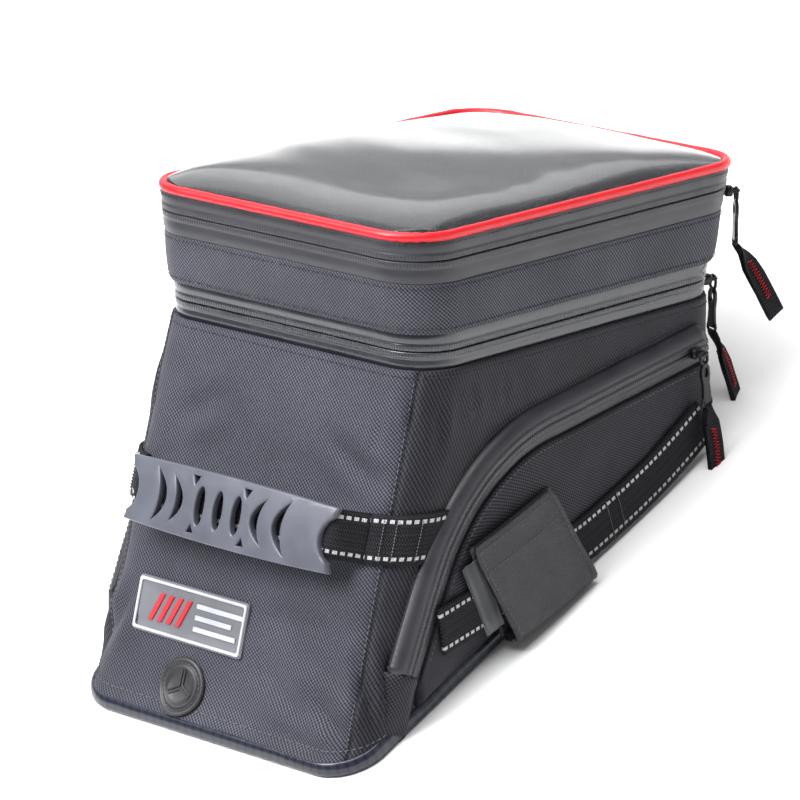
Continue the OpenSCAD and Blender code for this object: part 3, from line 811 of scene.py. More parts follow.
def collar():
    corners = [
        (-COLLAR_BOTTOM, -0.2, 1.2), (-46, 0.7, 4), (-36, 0.9, 4), (-COLLAR_TAPE_BOTTOM - 0.2, 0.4, 0.6),
        (-COLLAR_TAPE_BOTTOM + 0.1, -1.6, 0.3), (-LID_SPLIT - 0.4, -1.6, 0.3),
        (-LID_SPLIT - 0.4, -WALL - 0.8, 0.4), (-COLLAR_BOTTOM, -WALL - 0.8, 0.6),
    ]
    section = rounded_profile([(w, g, r) for w, g, r in corners], 5)
    dense = []
    for a, b in zip(section, section[1:] + section[:1]):
        count = max(1, int((b - a).length / 3))
        dense += [a.lerp(b, k / count) for k in range(count)]
    loops = []
    for p in dense:
        out = p.y > -1.2
        grow = []
        for i in range(POINTS):
            soft = 0.0
            if out:
                edge = min(1, (p.x + COLLAR_BOTTOM) / 6 + 0.4)
                soft = edge * (wrinkle(ALONG[i], p.x, 42, 1.3, 1.7) + fine_wrinkle(i, p.x))
            grow.append(p.y + soft)
        loops.append(level_ring(p.x, grow))
    # The collar takes the lit copy of the nylon.
    piece = lofted("collar_shell", loops, "lit_collar_cloth", "collar", "side_nylon", along=ALONG[:POINTS],
                   across=[p.x for p in dense], replaces=["collar_band"])
    for name, w, depth, look in (("collar_top_stitches", -COLLAR_TAPE_BOTTOM - 2.6, 0.75, "dark_thread"),
                                 ("collar_bottom_stitches", -COLLAR_BOTTOM + 3, 0.55, "dark_thread")):
        stitches(name, level_path(w, depth), look, "collar", "side_nylon")
    zip_half("collar_tape", -LID_SPLIT, -1, COLLAR_TAPE_BOTTOM - LID_SPLIT, 0.3, "matte_tape", "collar",
             "collar_zip_tape", "main_coil_lower", 0.2)
    for end, away, edge, holder in (("top", 1, COLLAR_BOTTOM, "collar"), ("bottom", -1, BODY_TOP, "root")):
        half = "upper" if away > 0 else "lower"
        zip_half(f"expander_tape_{end}", -EXPANDER_SPLIT, away, abs(EXPANDER_SPLIT - edge) + 0.8, -RECESS,
                 "glossy_tape", holder, f"expander_tape_{half}", f"expander_coil_{half}", 0.4)


def level_path(w, depth, rough=(42, 1.3, 1.7)):
    """A path round the collar at one level, with outward normals."""
    grow = [depth + wrinkle(ALONG[i], w, *rough) + fine_wrinkle(i, w) for i in range(POINTS)]
    ring_ = level_ring(w, grow)
    normals = [TILT @ Vector((nx, ny, 0)) for _, _, nx, ny in TOP_OUTLINE]
    path = list(zip(ring_, normals))
    return path + path[:1]


def inside():
    """The lining of the body and collar, and the folded cloth between them."""
    loops = []
    for k in range(20):
        t = k / 19
        row = []
        for i in range(POINTS):
            low = (WALL_FOOT + 0.2) / HEM_LINE[i].z
            soft = wrinkle(ALONG[i], t * 200, 30, 0.5, 6)
            row.append(wall_point(i, low + (0.995 - low) * t, -WALL - 0.7 + soft * 0.5))
        loops.append(row)
    for k in range(19, -1, -1):
        t = k / 19
        row = []
        for i in range(POINTS):
            low = (WALL_FOOT + 1.2) / HEM_LINE[i].z
            soft = wrinkle(ALONG[i], t * 200, 30, 0.5, 6)
            row.append(wall_point(i, low + (0.995 - low) * t, -WALL - 1.5 + soft * 0.5))
        loops.append(row)
    lofted("inner_lining", loops, "lining_cloth", "root", "lining_cloth", solid=False, along=ALONG[:POINTS],
           replaces=["lining"])
    band("collar_inner_lining", [(-COLLAR_BOTTOM, -WALL - 1.2, 0.3), (-LID_SPLIT - 0.5, -WALL - 1.2, 0.3),
                                 (-LID_SPLIT - 0.5, -WALL - 2.0, 0.3), (-COLLAR_BOTTOM, -WALL - 2.0, 0.3)],
         "lining_cloth", "collar", "lining_cloth", replaces=["collar_lining"])
    section = []
    for k in range(13):
        w = -BODY_TOP - 1 + (BODY_TOP - COLLAR_BOTTOM + 2) * k / 12
        section.append((w, -WALL - 0.2 - (0.25 if k % 2 else 0)))
    both = [(w, g) for w, g in section] + [(w, g - 0.7) for w, g in reversed(section)]
    gusset = lofted("gusset", [level_ring(w, g) for w, g in both], "shaded_side_cloth", None, "gusset_cloth",
                    along=ALONG[:POINTS], across=[w for w, _ in both], replaces=["expansion_gusset"])
    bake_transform(gusset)
    hinge = []
    for k in range(15):
        w = -20 + 15 * k / 14
        hinge.append((w, 0.95 + 0.2 * math.sin(math.pi * k / 14)))
    rows = [[stand(x, rear_edge(w) + g, w) for x in range(-58, 59, 4)] for w, g in hinge]
    rows += [[stand(x, rear_edge(w) + g - 0.7, w) for x in range(-58, 59, 4)] for w, g in reversed(hinge)]
    strip = lofted("lid_hinge_cloth", rows, "plain_tape", None, "zip_tape", round_=False,
                   replaces=["lid_hinge_strip"])
    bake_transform(strip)


CROWN = 12.5
INSETS = [3.4, 4.2, 5.2, 6.5, 8, 10, 12.5, 15.5, 19, 23]
SHARES = [0.08, 0.18, 0.3, 0.43, 0.56, 0.68, 0.79, 0.9, 1.0]
SPINE = (84, 184)


def crown_at(x, y, lift):
    """Height of the lid's dome at a place on the lid, with soft folds."""
    to_side, to_end = HALF - abs(x), min(y, LID_LENGTH - y)
    rise = (1 - math.exp(-to_side / 11)) * (1 - math.exp(-to_end / 11))
    folds = 0.0
    if lift:
        folds = rise * (wrinkle(x, y, 80, 2.0, 2.2) + wrinkle(x + y, y, 34, 0.4, 5.1))
    belly = 1.6 * math.cos(math.pi * x / BAG_WIDTH) * math.sin(math.pi * y / LID_LENGTH)
    to_rear, to_left = LID_LENGTH - y, HALF + x
    slack = 0.34 * math.exp(-(to_rear / 60) ** 2)
    slack += 0.22 * math.exp(-(to_rear / 90) ** 2 - (to_left / 60) ** 2)
    return CROWN * (1 - slack) * rise + (lift + belly) * rise + folds - 3.0


def dome_rings(lift, flat=None):
    """Rings over the dome, or over a flat level, from the lid's edge to its middle line."""
    rings = []
    rim = INSETS[-1]
    for step in INSETS + SHARES:
        inset = max(step, rim) if step <= 1 else step
        share = step if step <= 1 else 0
        radius = max(LID_RADIUS - inset, 5)
        ring_ = []
        for x, y, _, _ in outline(HALF - inset, inset, LID_LENGTH - inset, radius):
            y += (min(max(y, SPINE[0]), SPINE[1]) - y) * share
            x *= 1 - share
            ring_.append(stand(x, y, crown_at(x, y, lift) if flat is None else flat))
        rings.append(ring_)
    return rings


def lid():
    foot = -LID_SPLIT + 0.3
    loops = dome_rings(0, foot)[::-1]
    loops += [level_ring(foot, -1.6), level_ring(-8, -1.5), level_ring(-LID_TAPE_TOP - 0.2, -1.5)]
    loops += dome_rings(0)
    panel = lofted("lid_pad", loops, "lid_vinyl", "lid", "lid_vinyl", solid=False, weld=True,
                   along=ALONG[:POINTS], replaces=["lid_panel"])
    window = dome_rings(1.4)[::-1] + dome_rings(2.1)
    lofted("window_sheet", window, "clear_vinyl", "lid", "clear_vinyl", solid=False, weld=True,
           along=ALONG[:POINTS], replaces=["map_window"])
    zip_half("lid_tape", -LID_SPLIT, 1, LID_SPLIT - LID_TAPE_TOP + 1.0, 0.3, "matte_tape", "lid",
             "lid_zip_tape", "main_coil_upper", 0.3)
    loops = []
    for k in range(12):
        a = 2 * math.pi * k / 12
        loops.append([])
        for i in range(POINTS):
            pucker = 0.25 * math.sin(ALONG[i] / 1.1) * math.exp(-((signed_along(i) - 86) / 26) ** 2)
            radius = 2.55 + pucker + wrinkle(ALONG[i], 0, 9, 0.25, 7)
            loops[-1].append((radius * math.sin(a) - 0.5, -0.9 - radius * math.cos(a)))
    rings = []
    for loop in loops:
        grow = [g for _, g in loop]
        base = level_ring(-0.5, grow)
        up = TILT @ Vector((0, 0, 1))
        rings.append([p + up * (loop[i][0] + 0.5) for i, p in enumerate(base)])
    lofted("red_piping", rings, "red_vinyl", "lid", "red_piping", along=ALONG[:POINTS],
           replaces=["lid_piping"])
    path = level_path(-LID_TAPE_TOP - 1.2, 0.5, (30, 0.2, 3))
    stitches("piping_stitches", path, "dark_thread", "lid", "zip_tape", pitch=3.0)


# ---- Front face ---------------------------------------------------------------------------------


def extruded(name, outlines, thickness, bevel):
    """Points and faces of a flat bevelled shape with holes. The first closed outline is the outer one."""
    curve = bpy.data.curves.new(name, "CURVE")
    curve.dimensions = "2D"
    curve.fill_mode = "BOTH"
    curve.extrude = thickness / 2 - bevel
    curve.bevel_depth = bevel
    curve.bevel_resolution = 2
    curve.offset = -bevel
    for points in outlines:
        spline = curve.splines.new("POLY")
        spline.points.add(len(points) - 1)
        for target, (x, y) in zip(spline.points, points):
            target.co = (x, y, 0, 1)
        spline.use_cyclic_u = True
    holder = bpy.data.objects.new(name + "_outline", curve)
    bpy.context.scene.collection.objects.link(holder)
    mesh = bpy.data.meshes.new_from_object(holder.evaluated_get(bpy.context.evaluated_depsgraph_get()))
    bpy.data.objects.remove(holder)
    bpy.data.curves.remove(curve)
    editor = bmesh.new()
    editor.from_mesh(mesh)
    bmesh.ops.remove_doubles(editor, verts=editor.verts, dist=0.001)
    for k in range(-12, 13):
        geometry = editor.verts[:] + editor.edges[:] + editor.faces[:]
        bmesh.ops.bisect_plane(editor, geom=geometry, plane_co=(k * 6, 0, 0), plane_no=(1, 0, 0))
    points = [v.co.copy() for v in editor.verts]
    editor.verts.index_update()
    faces = [tuple(v.index for v in f.verts) for f in editor.faces]
    editor.free()
    bpy.data.meshes.remove(mesh)
    return points, faces


def arc_points(cx, cy, r, a0, a1, count):
    return [
        (cx + r * math.cos(math.radians(a0 + (a1 - a0) * k / count)),
         cy + r * math.sin(math.radians(a0 + (a1 - a0) * k / count)))
        for k in range(count + 1)
    ]


def crescent(x, side, height, thick, depth):
    """A crescent slot with its horns pointing along -side."""
    half = height / 2

    def bow(bulge, reverse):
        points = []
        for k in range(13):
            f = k / 12 * 2 - 1
            points.append((x + side * bulge * (1 - f * f), half * f))
        return points[::-1] if reverse else points

    return bow(depth + thick, False) + bow(depth, True)[1:-1]


def lens(x, height, width):
    points = []
    for k in range(24):
        a = 2 * math.pi * k / 24
        points.append((x + width / 2 * math.cos(a), height / 2 * math.sin(a)))
    return points


GRIP_GAP = 18.0
GRIP_DROP = 86.5
GRIP_T = -GRIP_DROP - 3.5


def grip():
    half, high = 72.5, 18
    top = [(x, high - 1.6 * (x / half) ** 2 + 0.6) for x in range(-66, 67, 6)]
    right_end = [(half, high - 1), (half - 1.5, high - 4.5)]
    right_end += arc_points(half + 4.5, 0, 13.2, 118, 242, 12)
    right_end += [(half - 1.5, 4.5 - high), (half, 1 - high)]
    bottom = [(x, -y) for x, y in reversed(top)]
    left_end = [(-x, y) for x, y in reversed(right_end)]
    outer = top + right_end + bottom + left_end
    holes = [crescent(-51, 1, 27, 5.4, 3.6), crescent(-38, 1, 23, 4.8, 3.2)]
    holes += [lens(x, 20.5, 6.2) for x in (-17.5, -4.5, 8.5)]
    holes += [crescent(26.5, -1, 23, 4.8, 3.2), crescent(42.5, -1, 27, 5.4, 3.6)]
    for x, y, up in ((-23, 12.8, -1), (13.5, 12.8, -1), (-22, -12.8, 1), (14, -12.8, 1)):
        holes.append([(x - 2.4, y - up * 2), (x + 2.4, y - up * 2), (x, y + up * 2.6)])
    points, faces = extruded("grip_plate", [outer] + holes, 4.6, 0.9)
    bowed = []
    for p in points:
        bow = 3.0 * (1 - (p.x / half) ** 2) - 1.2
        cup = -1.0 * (p.y / high) ** 2
        bowed.append(on_front(p.x, GRIP_T + p.y, GRIP_GAP + 1.6 + p.z + bow + cup))
    plate = finish_mesh("grip_plate", bowed, faces, None, "grip_plastic", "handle", "grip_rubber",
                        replaces=["handle_grip"])
    plate.data.shade_smooth()
    edge = plate.modifiers.new("crisp", "EDGE_SPLIT")
    edge.split_angle = math.radians(50)


def handle_strap():
    """The strap behind the grip: flat on the bag at its stitched ends and bowed out between them."""
    route = []
    for k in range(61):
        u = -80 + 160 * k / 60
        rise = min(1, max(0, (80 - abs(u) - 0.5) / 11))
        rise = rise * rise * (3 - 2 * rise)
        route.append((u, 1.6 + (GRIP_GAP - 3.4) * rise + 1.2 * math.sin(rise * math.pi)))
    loops = []
    edge = WEBBING / 2
    for t, extra in ((-edge, 0), (-edge, 1.5), (-6, 1.6), (6, 1.6), (edge, 1.5), (edge, 0)):
        loops.append([on_front(u, -GRIP_DROP + t, n + extra) for u, n in route])
    across = [-WEBBING / 2, -WEBBING / 2, -6, 6, WEBBING / 2, WEBBING / 2]
    lofted("handle_strap_middle", [loop[8:53] for loop in loops], "strap", "handle", "webbing",
                   round_=False, across=across, replaces=["handle_webbing"])
    for name, cut, a, b in (("left", slice(0, 9), -76, -63), ("right", slice(52, 61), 76, 63)):
        piece = lofted(f"handle_strap_{name}", [loop[cut] for loop in loops], "strap", None, "webbing",
                       round_=False, across=across)
        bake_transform(piece)
    high, low = front_level(GRIP_DROP - WEBBING / 2), front_level(GRIP_DROP + WEBBING / 2)
    for name, side in (("right", 1), ("left", -1)):
        first = FRONT_STEPS + 2
        last = FRONT_STEPS + CORNER_STEPS + 4
        indices = [side * i for i in range(first, last + 1)]
        loops = []
        section = [(low, 0.2), (low, 2.2)] + [(low + (high - low) * k / 6, 2.4) for k in range(1, 6)]
        section += [(high, 2.2), (high, 0.2)]
        for w, depth in section:
            loops.append([
                wall_point(i, share_at_level(i, w), depth + swell(i % POINTS, share_at_level(i, w)))
                for i in indices
            ])
        across = [w - (low + high) / 2 for w, _ in section]
        lofted(f"{name}_strap_anchor", loops, "strap", "root", "webbing", round_=False, across=across,
               replaces=[f"{name}_handle_anchor"])
        for k, i in enumerate((first + 3, first + 5, first + 9)):
            path = []
            for q in range(15):
                w = low + 1.5 + (high - low - 3) * q / 14
                t = share_at_level(side * i, w)
                at = side * i % POINTS
                path.append((wall_point(at, t, 2.6 + swell(at, t)), WALL_OUT[at]))
            stitches(f"{name}_anchor_bar_{k}", path, "thread", "root", "webbing", pitch=1.7, length=1.3)


def front_level(drop):
    return -BODY_TOP - drop * (TILT.inverted() @ FACE_UP).z


def rounded_loop(a, b, radius):
    """A rounded rectangle about the origin, with half sides a and b."""
    loop = []
    for sx, sy, start in ((1, 1, 0), (-1, 1, 90), (-1, -1, 180), (1, -1, 270)):
        for q in range(7):
            angle = math.radians(start + q * 15)
            x, y = sx * (a - radius), sy * (b - radius)
            loop.append((x + radius * math.cos(angle), y + radius * math.sin(angle)))
    return loop


def small_blocks(name, points, faces, look, slot, bevel):
    """Small bevelled blocks on the body, from the boxes in points and faces."""
    piece = finish_mesh(name, points, faces, None, look, "root", slot, smooth=False)
    bevelled(piece, bevel)


def badge():
    """A raised label with a pale rim and plain slanted bars in place of any mark."""
    cu, ct = -28.75, -149.75
    half, high = 39.5, 14.75

    def rings(steps, radius, shrink, least):
        loops = []
        for inset, n in steps:
            corner = max(radius - inset * shrink, least)
            loop = rounded_loop(half - inset, high - inset, corner)
            loops.append([on_front(cu + x, ct + y, n) for x, y in loop])
        return loops

    steps = [(0, 0.4), (0, 2.2), (0.3, 2.7), (1.2, 2.7), (1.6, 2.4), (6, 2.4)]
    ground = lofted("badge_ground", rings(steps, 2.2, 0.3, 0.6), "badge_ground", "root", "badge_rubber",
                    solid=False)
    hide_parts("badge")
    steps = [(1.0, 2.4), (1.0, 3.2), (1.3, 3.5), (2.3, 3.5), (2.6, 3.2), (2.6, 2.3)]
    lofted("badge_rim", rings(steps, 1.9, 0.2, 0.5), "badge_edge", "root", "badge_rubber")
    points, faces = [], []
    for k in range(4):
        x = cu - 24 + k * 6.5
        slant = FACE_UP * 7.5 + Vector((3.2, 0, 0))
        box_at(points, faces, on_front(x, ct, 2.75), Vector((1.7, 0, 0)), slant, FACE_OUT * 0.5)
    small_blocks("badge_bars_red", points, faces, "badge_mark", "badge_rubber", 0.3)
    points, faces = [], []
    for k, width in enumerate((17, 13, 15)):
        middle = on_front(cu + 4 + width, ct + 6 - 6 * k, 2.75)
        box_at(points, faces, middle, Vector((width, 0, 0)), FACE_UP * 1.3, FACE_OUT * 0.4)
    small_blocks("badge_bars_pale", points, faces, "badge_edge", "badge_rubber", 0.3)


PORT_PLACE = (-25.5, -186.5)


def on_port(x, y, n):
    """A place on the port, which follows the cloth where it flares out to the base."""
    flat = on_front(PORT_PLACE[0] + x, PORT_PLACE[1] + y, 0)
    return flat + FACE_OUT * (n + foot_flare(0, flat.z))


def port():
    """A round rubber port with a raised rim and a plain three-way slit."""
    profile = [
        (15.5, 0.2), (15.5, 1.4), (15.0, 2.2), (14.2, 2.6), (13.2, 2.3), (12.7, 1.7), (12.2, 1.7),
        (11.7, 2.6), (11.0, 3.2), (10.2, 3.3), (9.6, 2.8), (9.2, 2.2), (6, 2.0), (3, 1.9), (0.8, 1.9),
    ]
    loops = []
    for r, n in profile:
        loops.append([
            on_port(r * math.cos(a), r * math.sin(a), n + 0.5)
            for a in (2 * math.pi * k / 64 for k in range(64))
        ])
    disc = lofted("port_disc", loops, "port_rubber", "root", "port_rubber", solid=False)
    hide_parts("cable_port")
    points, faces = [], []
    for k in range(3):
        a = math.radians(90 + 120 * k)
        start, end = (on_port(r * math.cos(a), r * math.sin(a), 2.5) for r in (0.3, 8.6))
        line, middle = (end - start).normalized(), start.lerp(end, 0.5)
        side = Vector((-math.sin(a), 0, 0)) + FACE_UP * math.cos(a)
        for s in (-1, 1):
            box_at(points, faces, middle + side * 0.95 * s, line * 4.2, side * 0.6, FACE_OUT * 0.75)
    small_blocks("port_slit_lips", points, faces, "port_rubber", "port_rubber", 0.25)
    path = []
    for k in range(73):
        a = 2 * math.pi * k / 72
        path.append((on_port(12.45 * math.cos(a), 12.45 * math.sin(a), 2.3), FACE_OUT))
    stitches("port_stitches", path, "thread", "root", "port_rubber", pitch=2.6, length=1.8, radius=0.28)
    dress("port_backing_ring", "port_rubber")


# ---- Side pockets -------------------------------------------------------------------------------

ZIP_HEADING = math.radians(8)
ZIP_TURN = math.radians(57.7)
BEND_CENTRE = Vector((111.7, -221.4))
BEND_RADIUS = 111
ZIP_REAR = 131
ZIP_FRONT = 53
ZIP_RISE = 7
TAPE_HALF = 10.5


def zip_line(grow):
    """The pocket's zip in v and w, from its rear end to its front end, grown outwards."""
    points = []
    start = math.pi / 2 + ZIP_HEADING
    rearward = Vector((math.cos(ZIP_HEADING), math.sin(ZIP_HEADING)))
    reach = BEND_RADIUS + grow
    first = BEND_CENTRE + reach * Vector((math.cos(start), math.sin(start)))
    for k in range(33):
        points.append(first + rearward * ZIP_REAR * (1 - k / 33))
    for k in range(33):
        a = start + ZIP_TURN * k / 32
        points.append(BEND_CENTRE + reach * Vector((math.cos(a), math.sin(a))))
    a = start + ZIP_TURN
    forward = Vector((-math.sin(a), math.cos(a)))
    for k in range(1, 15):
        points.append(points[65] + forward * ZIP_FRONT * k / 14 if k else points[65])
    return points


def base_level(v, rise):
    return CENTRE.z + (v - CENTRE.y) * math.tan(BASE_ANGLE) + rise


def side_sweep(name, side, section, look, slot, rough, **more):
    """A strip along the pocket's zip. Its section is an outline of (offset across, height)."""
    loops = []
    for d, n in section:
        line = zip_line(d)
        loops.append([
            on_side(side, p.x, p.y, n + wrinkle(k * 4, d, 20, rough, side))
            for k, p in enumerate(line)
        ])
    return lofted(name, loops, look, "root", slot, round_=False, across=[d for d, _ in section], **more)


def pocket(name, side):
    tape = [
        (-TAPE_HALF, 0.6), (-TAPE_HALF, 3.2), (-9.6, 5.2), (-7.5, 6.6), (-4.6, 7.4), (-3.6, 7.7),
        (-3.1, 8.3), (-0.7, 8.35), (-0.2, 7.6), (0.2, 7.6), (0.7, 8.35), (3.1, 8.3),
        (3.6, 7.7), (4.6, 7.4), (7.5, 6.4), (9.6, 4.4), (TAPE_HALF, 2.0), (TAPE_HALF, 0.4),
    ]
    side_sweep(name + "_pocket_tape", side, tape, "matte_tape", "zip_tape", 0.35,
               replaces=[name + "_pocket_zip_tape", name + "_pocket_coil"])
    edge = zip_line(-TAPE_HALF + 0.4)
    foot_front, foot_rear = edge[-1].x + 4, edge[0].x + 8
    lengths = running_length([p.to_3d() for p in edge])
    foot = []
    for k, p in enumerate(edge):
        v = foot_rear + (foot_front - foot_rear) * lengths[k] / lengths[-1]
        foot.append(Vector((v, base_level(v, 8.6))))
    loops, across = [], []
    steps = 26
    for j in range(steps + 1):
        s = j / steps
        row = []
        for k, (a, b) in enumerate(zip(edge, foot)):
            p = a.lerp(b, s)
            inward = math.sin(math.pi * s)
            n = 5.4 * (1 - s ** 5) + 1.4 + 1.6 * inward * math.sin(math.pi * k / (len(edge) - 1))
            n += (wrinkle(p.x, p.y, 34, 1.5, 3 + side) + wrinkle(p.x, p.y, 13, 0.5, 9)) * inward
            row.append(on_side(side, p.x, p.y, max(n, 0.8)))
        loops.append(row)
        across.append(s * 70)
    loops.append([on_side(side, p.x, p.y, 0.3) for p in foot])
    loops.append([on_side(side, p.x, p.y, 0.3) for p in edge])
    across += [72, 140]
    panel = lofted(name + "_pocket_pad", loops, "shaded_side_cloth", "root", "side_nylon", round_=False,
                   across=across, replaces=[name + "_pocket"])
    inner = [(on_side(side, p.x, p.y, 6.6), Vector((side, 0, 0))) for p in zip_line(-TAPE_HALF - 2.2)]
    stitches(name + "_pocket_inner_stitches", inner, "thread", "root", "side_nylon")
    outer = [(on_side(side, p.x, p.y, 1.7), Vector((side, 0, 0))) for p in zip_line(TAPE_HALF + 2.0)]
    stitches(name + "_pocket_outer_stitches", outer, "dark_thread", "root", "side_nylon")
    end_tab(name, side)
    pocket_strap(name, side)
    wrap(name, side)


def end_tab(name, side):
    """The cloth tab over the front end of the pocket's zip."""
    tip = zip_line(0)[-1]
    corners = [(10.6, -3), (-11, 5), (-17, -30), (3, -36)]
    rear_top, front_top, front_low, rear_low = (Vector(corner) for corner in corners)

    def spot(f, s):
        return tip + rear_top.lerp(front_top, f).lerp(rear_low.lerp(front_low, f), s)

    loops, across = [], []
    for j in range(13):
        s = j / 12
        row = []
        for k in range(13):
            f = k / 12
            p = spot(f, s)
            hump = 7.6 * (1 - s) ** 0.6 * (1 - abs(2 * f - 1) ** 3) + 1.6
            near = max(0, (-12 - p.x)) * 0.22
            row.append(on_side(side, p.x, p.y, hump - near + wrinkle(p.x, p.y, 12, 0.8, 5)))
        loops.append(row)
        across.append(s * 34)
    for s in (1, 0):
        loops.append([on_side(side, *spot(k / 12, s), -1.5) for k in range(13)])
        across.append(34 + 30 * (1 - s))
    lofted(name + "_zip_end_tab", loops, "shaded_side_cloth", "root", "side_nylon", round_=False, across=across,
           replaces=[name + "_end_tab"])


STRAP_LINE = [(10, -204), (30, -200), (51, -196), (86, -188.5), (121, -181), (152, -169.5), (180, -157),
              (202, -145.5), (222, -134)]
POCKET_TOP = 7.6


def smooth_line(points, count):
    """Points spaced evenly along a soft curve through the given ones."""
    curve = soft_curve(points, 8)
    lengths = running_length([p.to_3d() for p in curve])
    even, seat = [], 0
    for k in range(count + 1):
        place = lengths[-1] * k / count
        while seat < len(lengths) - 2 and lengths[seat + 1] < place:
            seat += 1
        f = (place - lengths[seat]) / (lengths[seat + 1] - lengths[seat])
        even.append(curve[seat].lerp(curve[seat + 1], f))
    return even


def strap_point(line, k, offset):
    ahead = line[min(k + 1, len(line) - 1)] - line[max(k - 1, 0)]
    across = Vector((-ahead.y, ahead.x)).normalized()
    return line[k] + across * offset


def pocket_strap(name, side):
    line = smooth_line(STRAP_LINE, 72)
    section = [(-13, 0.2), (-13, 1.8), (-6.5, 2.1), (0, 2.2), (6.5, 2.1), (13, 1.8), (13, 0.2)]
    loops = []
    for d, n in section:
        row = []
        for k in range(len(line)):
            p = strap_point(line, k, d)
            lift = 0.6 * math.sin(k / 9 + 1) + 0.4
            row.append(on_side(side, p.x, p.y, POCKET_TOP + n + lift))
        loops.append(row)
    lofted(name + "_pocket_strap", loops, "strap", "root", "webbing", round_=False,
           across=[d for d, _ in section], replaces=[name + "_side_webbing"])
    for tag, share in (("a", 44), ("b", 47)):
        path = []
        for q in range(13):
            p = strap_point(line, share, -12 + 2 * q)
            path.append((on_side(side, p.x, p.y, POCKET_TOP + 2.5 + 0.6 * math.sin(share / 9 + 1) + 0.4),
                         Vector((side, 0, 0))))
        stitches(f"{name}_strap_bar_{tag}", path, "thread", "root", "webbing", pitch=1.7, length=1.3)


FLAP_FOOT = Vector((85, -207))
FLAP_TURN = math.radians(18)
FLAP_HALF = 33


def on_flap(side, x, h, n):
    """A place on the wrap: along its foot, up from the foot and out."""
    c, s = math.cos(FLAP_TURN), math.sin(FLAP_TURN)
    return on_side(side, FLAP_FOOT.x + x * c - h * s, FLAP_FOOT.y + x * s + h * c, n)


def flap_row(side, h, n, inset=0.0):
    """A row across the flap: it narrows at its corners and leans to the front at its top."""
    reach = FLAP_HALF - inset
    row = []
    for k in range(25):
        x = -reach + 2 * reach * k / 24
        bow = 0.9 * math.sin(math.pi * k / 24)
        row.append(on_flap(side, x - 0.16 * (h - 25), h, n + bow))
    return row


def wrap(name, side):
    """The leatherette flap that closes round the strap, its folded back and its hook-and-loop pad."""
    centre = [
        (57, 11.2), (54, 11.4), (48, 12.2), (40, 13.4), (30, 15.1), (20, 17.1), (11, 19.2), (5, 20.6),
        (1, 20.8), (-1.8, 19.4),
    ]
    insets = [3.2, 1.0] + [0.0] * (len(centre) - 2)
    thick = 1.1
    loops = [flap_row(side, h, n + thick, inset) for (h, n), inset in zip(centre, insets)]
    loops += [flap_row(side, h, n - thick, inset) for (h, n), inset in zip(centre[::-1], insets[::-1])]
    flap = lofted(name + "_wrap_cover", loops, "leatherette", name + "_wrap", "leatherette", round_=False,
                  replaces=[name + "_wrap_flap"])
    edge = []
    ring_ = [(h, n + thick + 0.1) for h, n in centre[1:9]]
    inner = FLAP_HALF - 2.6
    for h, n in ring_:
        edge.append((on_flap(side, -inner - 0.16 * (h - 25), h, n), Vector((side, 0, 0))))
    stitches(name + "_wrap_stitch_front", edge, "thread", name + "_wrap", "leatherette")
    edge = [(on_flap(side, inner - 0.16 * (h - 25), h, n), Vector((side, 0, 0))) for h, n in ring_]
    stitches(name + "_wrap_stitch_rear", edge, "thread", name + "_wrap", "leatherette")
    for tag, h, n in (("top", 53.4, 12.7), ("seam", 41, 14.4)):
        edge = []
        for k in range(25):
            x = -inner + 2 * inner * k / 24
            edge.append((on_flap(side, x - 0.16 * (h - 25), h, n + 0.9 * math.sin(math.pi * k / 24)),
                         Vector((side, 0, 0))))
        stitches(f"{name}_wrap_stitch_{tag}", edge, "thread", name + "_wrap", "leatherette")
    back = [(-2.4, 17.8), (-3.6, 15.5), (-3.8, 12.5), (-2.6, 10.4), (0, 9.9), (8, 9.9), (30, 9.9), (57, 9.9)]
    loops = [flap_row(side, h, n) for h, n in back]
    for h, n in reversed(back):
        in_fold = h < -1
        loops.append(flap_row(side, h + 1.2 * in_fold, n - (0.4 if in_fold else 0.9)))
    lofted(name + "_wrap_fold", loops, "leatherette", "root", "leatherette", round_=False,
                 replaces=[name + "_wrap_back"])
    loops = []
    for h, n in ((6, 10.1), (6, 11.2), (20, 11.3), (36, 11.3), (50, 11.2), (50, 10.1)):
        loops.append([on_flap(side, x - 0.16 * (h - 25), h, n + 0.3 * math.sin(x)) for x in range(-43, -29)])
    lofted(name + "_loop_pad", loops, "loop_cloth", "root", "loop_cloth", round_=False)


# ---- Zip pulls ----------------------------------------------------------------------------------

PULLER = 30
TAIL = 47
TAIL_HALF = 5.5
PIN_OUT = 8.2
MAIN_SLIDER_LEVEL = -17.4
EXPANDER_SLIDER_LEVEL = -66.6
MAIN_TWIST = 62
EXPANDER_TWIST = 50
POCKET_TWIST = 6


class Hanger:
    """The place of a zip slider: out of the zip, along it and across it."""

    def __init__(self, origin, out, along, up):
        self.origin, self.out, self.along, self.up = origin, out, along, up

    def at(self, x, y, z):
        return self.origin + self.out * x + self.along * y + self.up * z


def corner_hanger(w, angle):
    a = math.radians(angle)
    origin = stand(HALF - LID_RADIUS + LID_RADIUS * math.cos(a),
                   rear_edge(w) - LID_RADIUS + LID_RADIUS * math.sin(a), w)
    out = TILT @ Vector((math.cos(a), math.sin(a), 0))
    return Hanger(origin, out, TILT @ Vector((-math.sin(a), math.cos(a), 0)), TILT @ Vector((0, 0, 1)))


def pocket_hanger(side):
    run = 118
    start = math.pi / 2 + ZIP_HEADING
    place = BEND_CENTRE + BEND_RADIUS * Vector((math.cos(start), math.sin(start)))
    place += run * Vector((math.cos(ZIP_HEADING), math.sin(ZIP_HEADING)))
    along = TILT @ Vector((0, math.cos(ZIP_HEADING), math.sin(ZIP_HEADING)))
    up = TILT @ Vector((0, -math.sin(ZIP_HEADING), math.cos(ZIP_HEADING)))
    return Hanger(on_side(side, place.x, place.y, ZIP_RISE), Vector((side, 0, 0)), along, up)


